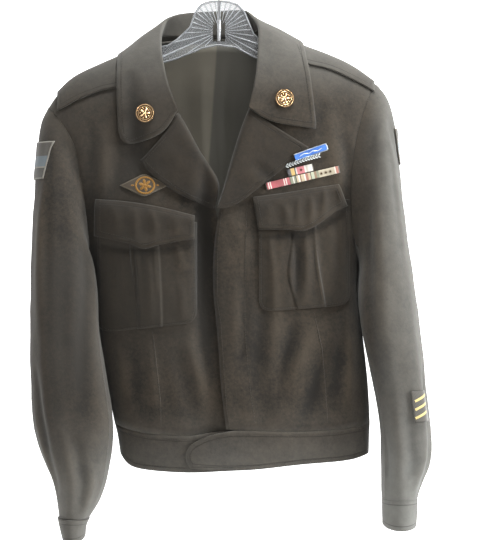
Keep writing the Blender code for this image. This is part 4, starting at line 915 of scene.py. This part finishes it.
def makeDisc(look):
    top = look["base"] / 2
    bpy.ops.mesh.primitive_cylinder_add(vertices=64, radius=look["radius"] * mm,
                                        depth=look["base"] * mm)
    plate = bpy.context.object
    pickPart(plate, faces=lambda normal: normal.z > 0.9)
    bpy.ops.mesh.inset(thickness=2.2 * mm)
    bpy.ops.transform.translate(value=(0, 0, -0.35 * mm))
    bpy.ops.mesh.inset(thickness=2.0 * mm)
    bpy.ops.transform.translate(value=(0, 0, 0.3 * mm))
    leaveEdit()
    parts = [plate]
    strand = ball(8)
    for i in range(look["strands"]):
        turn = turned(2 * math.pi * i / look["strands"], "Z")
        lean = turned(look["lean"], "Z")
        parts.append(copied(strand, turn @ shifted(look["rope"], 0, top) @ lean
                            @ sized(0.55, 1.15, 0.5)))
    half = turned(math.pi / look["petals"], "Z")
    for i in range(look["petals"]):
        turn = turned(2 * math.pi * i / look["petals"], "Z")
        parts.append(copied(strand, turn @ shifted(4.4, 0, top) @ sized(3.3, 1.5, 1.0)))
        parts.append(copied(strand, half @ turn @ shifted(6.6, 0, top) @ sized(1.5, 0.8, 0.8)))
    parts.append(copied(strand, shifted(0, 0, top) @ sized(1.7, 1.7, 1.1)))
    bpy.data.objects.remove(strand)
    bpy.ops.mesh.primitive_torus_add(major_radius=look["ring"] * mm, minor_radius=0.45 * mm,
                                     major_segments=64, minor_segments=8,
                                     location=(0, 0, top * mm))
    parts.append(bpy.context.object)
    disc = joinAll("rosette", parts)
    markRelief(disc, (pointsOf(disc)[:, 2] / mm - 1.15) * 10)
    pick(disc)
    bpy.ops.object.shade_smooth_by_angle(angle=math.radians(40))
    return disc


oneDisc = makeDisc(discLook)
for nodeName in ("collar_disc_left", "collar_disc_right"):
    node = np.array([v.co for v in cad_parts[nodeName].data.vertices])
    middle = (node.max(0) + node.min(0)) / 2
    out = Vector(np.linalg.svd(node - node.mean(0), full_matrices=False)[2][2])
    if out.y > 0:
        out = -out
    disc = copied(oneDisc, Matrix.Translation(Vector(middle) - out * discLook["sunk"] * mm)
                  @ out.to_track_quat("Z", "Y").to_matrix().to_4x4())
    disc.name = disc.data.name = "rosette_" + nodeName
    finishPiece(disc, giltMetal, "gilt", nodeName)
bpy.data.objects.remove(oneDisc)
print("collar discs made")


# a laurel sprig in silver under a blue bar
badgeLook = {"middle": (124, -275.6), "length": 48, "height": 10, "turn": 20, "leaves": 13}


def makeBadge(look):
    turn = turned(-math.radians(look["turn"]))
    place = shifted(look["middle"][0], 0, look["middle"][1])
    tree = treeOf(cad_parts["badge_bar"])
    bars = []
    for name, length, height, low, high in (
            ("silver_frame", look["length"], look["height"], -0.2, 0.35),
            ("enamel_bar", look["length"] - 2.4, look["height"] - 2.2, 0.1, 0.75)):
        bpy.ops.mesh.primitive_cube_add(size=1, location=(0, -(low + high) / 2 * mm, 0))
        bar = bpy.context.object
        bar.name = bar.data.name = name
        bar.scale = (length * mm, (high - low) * mm, height * mm)
        setDown()
        pickPart(bar, edges=lambda a, b: abs(a.y - b.y) > 0.0001)
        bpy.ops.mesh.bevel(offset=2.2 * mm, segments=4, affect="EDGES")
        bpy.ops.mesh.select_all(action="SELECT")
        bpy.ops.mesh.subdivide(number_cuts=3)
        leaveEdit()
        bevelled(bar, 0.2, 2, 60)
        moved(bar, place @ turn)
        layOn(bar, tree)
        bars.append(bar)
    leaf = ball(10)
    parts = []
    for i in range(look["leaves"]):
        share = i / (look["leaves"] - 1)
        x, z = 92 + 43 * share, -294 + 14 * share + 1.0 * math.sin(math.pi * share)
        for side in (-1, 1):
            lean = turned(-math.radians(17 + side * 38))
            parts.append(copied(leaf, shifted(x, -0.5, z + side * 1.2) @ lean
                                @ sized(2.6, 0.6, 0.9)))
    for i in range(5):   # a slim spray across the bar
        lean = turned(math.radians(-14 + 28 * (i % 2)))
        parts.append(copied(leaf, place @ turn @ shifted((i - 2) * 6.2, -1.0, 0.6 - 0.3 * i)
                            @ lean @ sized(4.4, 0.45, 0.55)))
    bpy.data.objects.remove(leaf)
    sprig = joinAll("laurel_sprig", parts)
    layOn(sprig, treeOf(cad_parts["badge_bar"], garment["lapel_left"],
                        garment["front_left"]))
    finishPiece(sprig, silverMetal, "steel")
    finishPiece(bars[0], silverMetal, "steel", "badge_bar")
    finishPiece(bars[1], blueEnamel, "blue_enamel")


makeBadge(badgeLook)


# embroidered patches
def patchMaterial(name, bands, low, high, rimTone):
    material, shader, place = newMaterial(name, Sheen_Weight=0.2, Specular_IOR_Level=0.25)
    height = place.along((0, 0, 1))
    share = ((height - low * mm) / ((high - low) * mm)).held()
    colour = share.node("ShaderNodeValToRGB", {"stops": ("CONSTANT", bands)}, {"Fac": share})
    rim = place.mark("rimGap")
    border = 1.0 - rim.steps(0.0016, 0.002)
    strand = height.waves(5600)
    fuzz = place.noiseAt(700, 2, 0.6)
    tone = border.colourMix(colour, rimTone)
    worn = (strand * 0.35 + fuzz * 0.3).held()
    coat(shader, worn.colourMix(tone, rgb(0.35, 0.33, 0.3), "MULTIPLY"), 0.7 + fuzz * 0.2)
    bump(shader, strand + fuzz, 0.3, 0.0004)
    return material


darkWool, greyBlue, ochre = (0.045, 0.039, 0.03), (0.1, 0.125, 0.14), (0.2, 0.185, 0.15)
patchBands = [(0.0, darkWool), (0.30, ochre), (0.335, greyBlue), (0.62, (0.06, 0.052, 0.042))]
for nodeName, low, high in (("shoulder_patch_right", -311, -260),
                            ("shoulder_patch_left", -290, -242)):
    side = nodeName.split("_")[2]
    piece = clothFrom(nodeName, "sewn_" + nodeName, 2)
    shapeOnSleeve(piece, side, leftSleeveFolds if side == "left" else rightSleeveFolds)
    markRims(piece)
    rimTone = rgb(0.07, 0.06, 0.045) if side == "left" else rgb(0.17, 0.16, 0.135)
    material = patchMaterial(nodeName, patchBands, low, high, rimTone)
    garment[nodeName] = finishPiece(piece, material, "embroidery", nodeName)

# the lozenge and its gold ring and flower
lozenge = clothFrom("chest_patch", "lozenge_patch", 2)
shapeOnBody(lozenge)
markRims(lozenge)
lozengeCloth = patchMaterial("lozenge_cloth", [(0.0, (0.055, 0.042, 0.028)), (1.0, ochre)],
                             -340, -300, rgb(0.085, 0.068, 0.045))
garment["chest_patch"] = finishPiece(lozenge, lozengeCloth, "embroidery", "chest_patch")
ringLook = {"middle": (-99, -320), "ring": 11.5, "thick": 1.3, "petals": 6}


def makeRing(look):
    middle = shifted(look["middle"][0], 0, look["middle"][1])
    bpy.ops.mesh.primitive_torus_add(major_radius=look["ring"] * mm,
                                     minor_radius=look["thick"] * mm, major_segments=48,
                                     minor_segments=8, rotation=(math.pi / 2, 0, 0))
    ring = bpy.context.object
    setDown()
    moved(ring, middle @ Matrix.Diagonal((1.08, 0.5, 0.95, 1)))
    petal = ball(12)
    parts = [ring]
    for i in range(look["petals"]):
        turn = turned(2 * math.pi * i / look["petals"] + 0.3)
        parts.append(copied(petal, middle @ turn @ shifted(5.2, 0, 0) @ sized(3.7, 0.6, 2.0)))
    parts.append(copied(petal, middle @ sized(2.0, 0.8, 2.0)))
    for x in (-17, 17):
        parts.append(copied(petal, middle @ shifted(x, 0, 0) @ sized(2.2, 0.5, 1.1)))
    bpy.data.objects.remove(petal)
    flower = joinAll("lozenge_flower", parts)
    layOn(flower, treeOf(lozenge))
    finishPiece(flower, goldThread, "embroidery")


makeRing(ringLook)

# three slanted bars on a dark backing, low on the sleeve
barLook = {"facing": 56, "aside": -4.0, "length": 22, "width": 3.2, "height": 0.9,
           "slant": 23, "apart": 11.3}
backing = clothFrom("service_bars", "bars_backing", 2)
shapeOnSleeve(backing, "left", leftSleeveFolds)
garment["service_bars"] = finishPiece(backing, darkBacking, "embroidery", "service_bars")


def makeBars(look):
    spots = pointsOf(backing)
    middle = Vector((spots.max(0) + spots.min(0)) / 2)
    facing = math.radians(look["facing"])
    out = Vector((math.cos(facing), -math.sin(facing), 0))
    across = Vector((0, 0, 1)).cross(out)
    bpy.ops.mesh.primitive_cube_add(size=1)
    bar = bpy.context.object
    bar.scale = (look["length"] * mm, look["height"] * mm, look["width"] * mm)
    setDown()
    editAll(bar)
    bpy.ops.mesh.subdivide(number_cuts=5)
    leaveEdit()
    bevelled(bar, 0.5, 3, 60)
    slant = turned(-math.radians(look["slant"]))
    bars = [copied(bar, shifted(look["aside"], 0, step * look["apart"]) @ slant)
            for step in (-1, 0, 1)]
    bpy.data.objects.remove(bar)
    stripes = joinAll("gold_bars", bars)
    layOn(stripes, treeOf(backing), (middle, across, Vector((0, 0, 1)), out))
    finishPiece(stripes, paleThread, "embroidery")


makeBars(barLook)
print("patches and badges made")


# rows of thread, each stitch a small rounded rod
stitchLook = {"step": 3.5, "length": 2.3, "thick": 0.27, "sink": 0.1}


def smoothPath(points, step):
    points = np.array(points, float)
    lengths = np.concatenate([[0], np.cumsum(np.hypot(*np.diff(points, axis=0).T))])
    count = max(int(lengths[-1] / step), 2)
    at = np.linspace(0, lengths[-1], count + 1)
    return np.stack([np.interp(at, lengths, points[:, k]) for k in (0, 1)], 1)


def makeStitch(look):
    bpy.ops.mesh.primitive_cylinder_add(vertices=5, radius=look["thick"] * mm,
                                        depth=look["length"] * mm,
                                        rotation=(0, math.pi / 2, 0))
    stitch = bpy.context.object
    setDown()
    pickPart(stitch, faces=lambda normal: abs(normal.x) > 0.9)
    bpy.ops.mesh.inset(thickness=0.12 * mm, depth=0.18 * mm, use_individual=True)
    leaveEdit()
    return stitch


oneStitch = makeStitch(stitchLook)


def threadRow(name, rows, onto, way, look=stitchLook):
    tree = treeOf(*onto)
    stitches = []
    for row in rows:
        path = smoothPath(row, look["step"])
        for ends in zip(path, path[1:]):
            spots = []
            for x, z in ends:
                _, hit, normal = landing(tree, way, x * mm, z * mm)
                if hit is None:
                    break
                spots.append((hit, normal))
            if len(spots) < 2 or (spots[0][0] - spots[1][0]).length > 2.5 * look["step"] * mm:
                continue
            (start, normal), (end, _) = spots
            run = (end - start).normalized()
            side = normal.cross(run).normalized()
            lift = (look["thick"] - look["sink"]) * mm
            turn = Matrix((run, side, normal)).transposed().to_4x4()
            place = Matrix.Translation((start + end) / 2 + normal * lift)
            stitches.append(copied(oneStitch, place @ turn))
    piece = joinAll(name, stitches)
    bpy.ops.object.shade_smooth()
    return finishPiece(piece, woolThread, "wool_faced")


threads = {   # the pieces sewn through, and each row's points, x z in mm
    "thread_lapels": (("lapel_left", "lapel_right"), [
        [(16, -345), (33, -336), (51, -318), (86, -291), (111, -271), (113, -268), (66, -243)],
        [(-12, -344), (-27, -339), (-57, -323), (-84, -302), (-98, -288), (-98.5, -286),
         (-70, -255)]]),
    "thread_collar": (("collar",), [
        [(106, -126), (113, -146), (118, -172), (121, -196), (124, -222), (125, -235),
         (66, -227), (52, -218)],
        [(-130, -142), (-132, -163), (-132, -190), (-131, -220), (-130, -246), (-126, -255),
         (-119, -259.5), (-77, -244), (-64, -226)]]),
    "thread_flaps": (("flap_left", "flap_right"), [
        [(52, -337), (58.5, -374), (96, -374), (112, -377), (127, -370), (152, -350),
         (165, -343), (157, -320)],
        [(-160, -340), (-160, -382), (-119, -392), (-98, -400.5), (-80, -394), (-38, -386.5),
         (-38, -361)]]),
    "thread_pockets": (("pocket_left", "pocket_right"), [
        [(57, -386), (57, -476), (61, -484), (69, -486.8), (115, -483), (160, -479.5),
         (169, -476.5), (173, -468), (173, -354)],
        [(-160, -392), (-160, -504), (-156, -512.5), (-148, -515.5), (-96, -509.5),
         (-45, -504.5), (-36, -500), (-33, -491), (-33, -398)]]),
    "thread_fronts": (("front_left",), [
        [(38, -346), (35.5, -420), (35.4, -514), (39, -560), (43.5, -602), (50, -646)],
        [(4, -356), (-1, -400), (-2, -474), (3, -505), (7, -565), (11, -622), (15, -646)]]),
    "thread_waistband": (("waistband_left", "waistband_right"), [
        [(14, -657), (-14, -663), (-31, -671), (-38, -679), (-39, -690), (-33, -699),
         (30, -699), (111, -691), (179, -686), (196, -682)],
        [(14, -657), (60, -657), (110, -658), (160, -656), (196, -652)],
        [(-50, -663), (-90, -662), (-128, -656)],
        [(-50, -701), (-101, -698), (-120, -693), (-132, -684)]]),
    "thread_back": (("waistband_back",), [
        [(-130, -650), (0, -650), (60, -650), (195, -650)],
        [(-130, -679), (0, -680), (60, -680), (195, -679)]]),
    "thread_collar_back": (("collar",), [
        [(-128, -131), (-104, -127), (-74, -123), (-42, -117.5), (-8, -115.5), (26, -113.5),
         (60, -113.5), (92, -112), (110, -112)]]),
}
backWay = (*frontWay[:3], Vector((0, 1, 0)))
for name, (nodeNames, rows) in threads.items():
    threadRow(name, rows, [garment[nodeName] for nodeName in nodeNames],
              backWay if name.endswith("back") else frontWay)
bpy.data.objects.remove(oneStitch)


# the waist darts: a slim welt laid on each front
dartLook = {"thick": 0.9, "rows": [
    [(-89, -517), (-84, -562), (-79, -609), (-77.5, -646)],
    [(128, -490), (139, -541), (143, -588), (147, -640)]]}


def roundLine(name, places, thick, widths=None, closed=False):
    line = bpy.data.curves.new(name, "CURVE")
    line.dimensions = "3D"
    line.bevel_depth = thick * mm
    line.bevel_resolution = 2
    line.use_fill_caps = not closed
    spline = line.splines.new("POLY")
    spline.points.add(len(places) - 1)
    for i, (x, z) in enumerate(places):
        spline.points[i].co = (x * mm, 0, z * mm, 1)
        if widths:
            spline.points[i].radius = widths[i]
    spline.use_cyclic_u = closed
    pick(linked(name, line))
    bpy.ops.object.convert(target="MESH")
    return bpy.context.object


def makeDarts(look):
    welts = []
    for row in look["rows"]:
        path = smoothPath(row, 6)
        widths = [min(1.0, 0.25 + 0.2 * min(i, len(path) - 1 - i)) for i in range(len(path))]
        welt = roundLine("dart", path, look["thick"], widths)
        moved(welt, Matrix.Diagonal((1, 0.55, 1, 1)))
        welts.append(welt)
    darts = joinAll("waist_darts", welts)
    layOn(darts, treeOf(garment["front_left"], garment["front_right"]))
    finishPiece(darts, woolCloth, "wool")


makeDarts(dartLook)
print("threads and darts laid")


# the clear hanger: a thin web, a rolled edge and a fan of ribs
def clearMaterial(name, tint, alpha, rough):
    material, shader, place = newMaterial(name, Alpha=alpha, IOR=1.49)
    haze = place.noiseAt(90, 3, 0.6)
    coat(shader, haze.colourMix(tint, rgb(*(share * 1.9 for share in tint[:3]))),
         rough + haze * 0.12)
    return material


# painted highlight: the ribs and the rolled edge are tinted paler than the web for the light they
# catch; their lower clearness is their thickness
clearWeb = clearMaterial("clear_plastic_web", rgb(0.13, 0.135, 0.14), 0.42, 0.12)
clearRib = clearMaterial("clear_plastic_ribs", rgb(0.36, 0.37, 0.38), 0.6, 0.1)
clearRim = clearMaterial("clear_plastic_rim", rgb(0.2, 0.205, 0.21), 0.6, 0.15)
hangerEdge = [
    (-167, -162), (-130, -144), (-102, -131), (-84, -129), (-72, -127), (-60, -119),
    (-41, -101), (-33, -80), (-25, -69.5), (-12, -65), (0, -64), (13, -65), (26, -69.5),
    (35, -79), (41, -93), (49, -111), (60, -121), (78, -124), (100, -127), (130, -141),
    (160, -154), (155, -172), (130, -163), (90, -152), (50, -143), (24, -129), (0, -126),
    (-24, -130), (-60, -145),
    (-104, -157), (-146, -173), (-163, -182),
]
hangerLook = {"web": 0.28, "edge": 1.5, "centre": (-3, -125), "middle": (0.7, -107),
              "start": 11.5, "count": 34, "wide": 1.2, "proud": 2.4}


def reachFrom(middle, angle, outline):
    dx, dz = math.cos(angle), math.sin(angle)
    best = 0
    for (x0, z0), (x1, z1) in zip(outline, outline[1:] + outline[:1]):
        ex, ez = x1 - x0, z1 - z0
        cross = dx * ez - dz * ex
        if abs(cross) < 1e-9:
            continue
        ox, oz = x0 - middle[0], z0 - middle[1]
        t = (ox * ez - oz * ex) / cross
        u = (ox * dz - oz * dx) / cross
        if t > 0 and 0 <= u <= 1 and (best == 0 or t < best):
            best = t
    return best


def makeHanger(look):
    web = linked("hanger_web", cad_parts["hanger_body"].data.copy())
    editAll(web)
    bpy.ops.mesh.remove_doubles(threshold=weldGap)
    leaveEdit()
    moved(web, Matrix.Diagonal((1, look["web"], 1, 1)))
    finishPiece(web, clearWeb, "clear_plastic", "hanger_body")

    centre, thick = Vector(look["centre"]), look["edge"]
    rolled = [Vector(spot) + (centre - Vector(spot)).normalized() * thick for spot in hangerEdge]
    edge = roundLine("hanger_edge", rolled, thick, closed=True)
    moved(edge, Matrix.Diagonal((1, 2.4, 1, 1)))
    bpy.ops.object.shade_smooth()
    finishPiece(edge, clearRim, "clear_plastic")

    bpy.ops.mesh.primitive_cube_add(size=1, location=(0.5, 0, 0))
    rib = bpy.context.object
    setDown()
    editAll(rib)
    bpy.ops.mesh.subdivide(number_cuts=1)
    leaveEdit()
    points = pointsOf(rib)
    points[:, 2] *= 0.35 + 0.65 * points[:, 0]          # wider towards the edge
    points[np.abs(points[:, 1]) > 0.4, 2] *= 0.3        # and ridged
    putPoints(rib, points)
    ribs = []
    for i in range(look["count"]):
        angle = 2 * math.pi * i / look["count"] + 0.05
        if math.sin(angle) < -0.72:
            continue
        reach = reachFrom(look["middle"], angle, hangerEdge) - 3.5
        start = look["start"] + 2.5 * (i % 2)
        if reach - start < 5:
            continue
        turn = turned(-angle) @ shifted(start, 0, 0)
        size = sized(reach - start, 2 * look["proud"], look["wide"] * (1 + reach / 60))
        ribs.append(copied(rib, shifted(look["middle"][0], 0, look["middle"][1]) @ turn @ size))
    bpy.data.objects.remove(rib)
    fan = joinAll("hanger_ribs", ribs)
    bevelled(fan, 0.15, 1)
    finishPiece(fan, clearRib, "clear_plastic")


makeHanger(hangerLook)
for nodeName in ("hanger_hook", "hanger_pin"):
    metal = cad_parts[nodeName]
    for place in metal.material_slots:
        place.link = "OBJECT"
        place.material = wireMetal
print("hanger made")
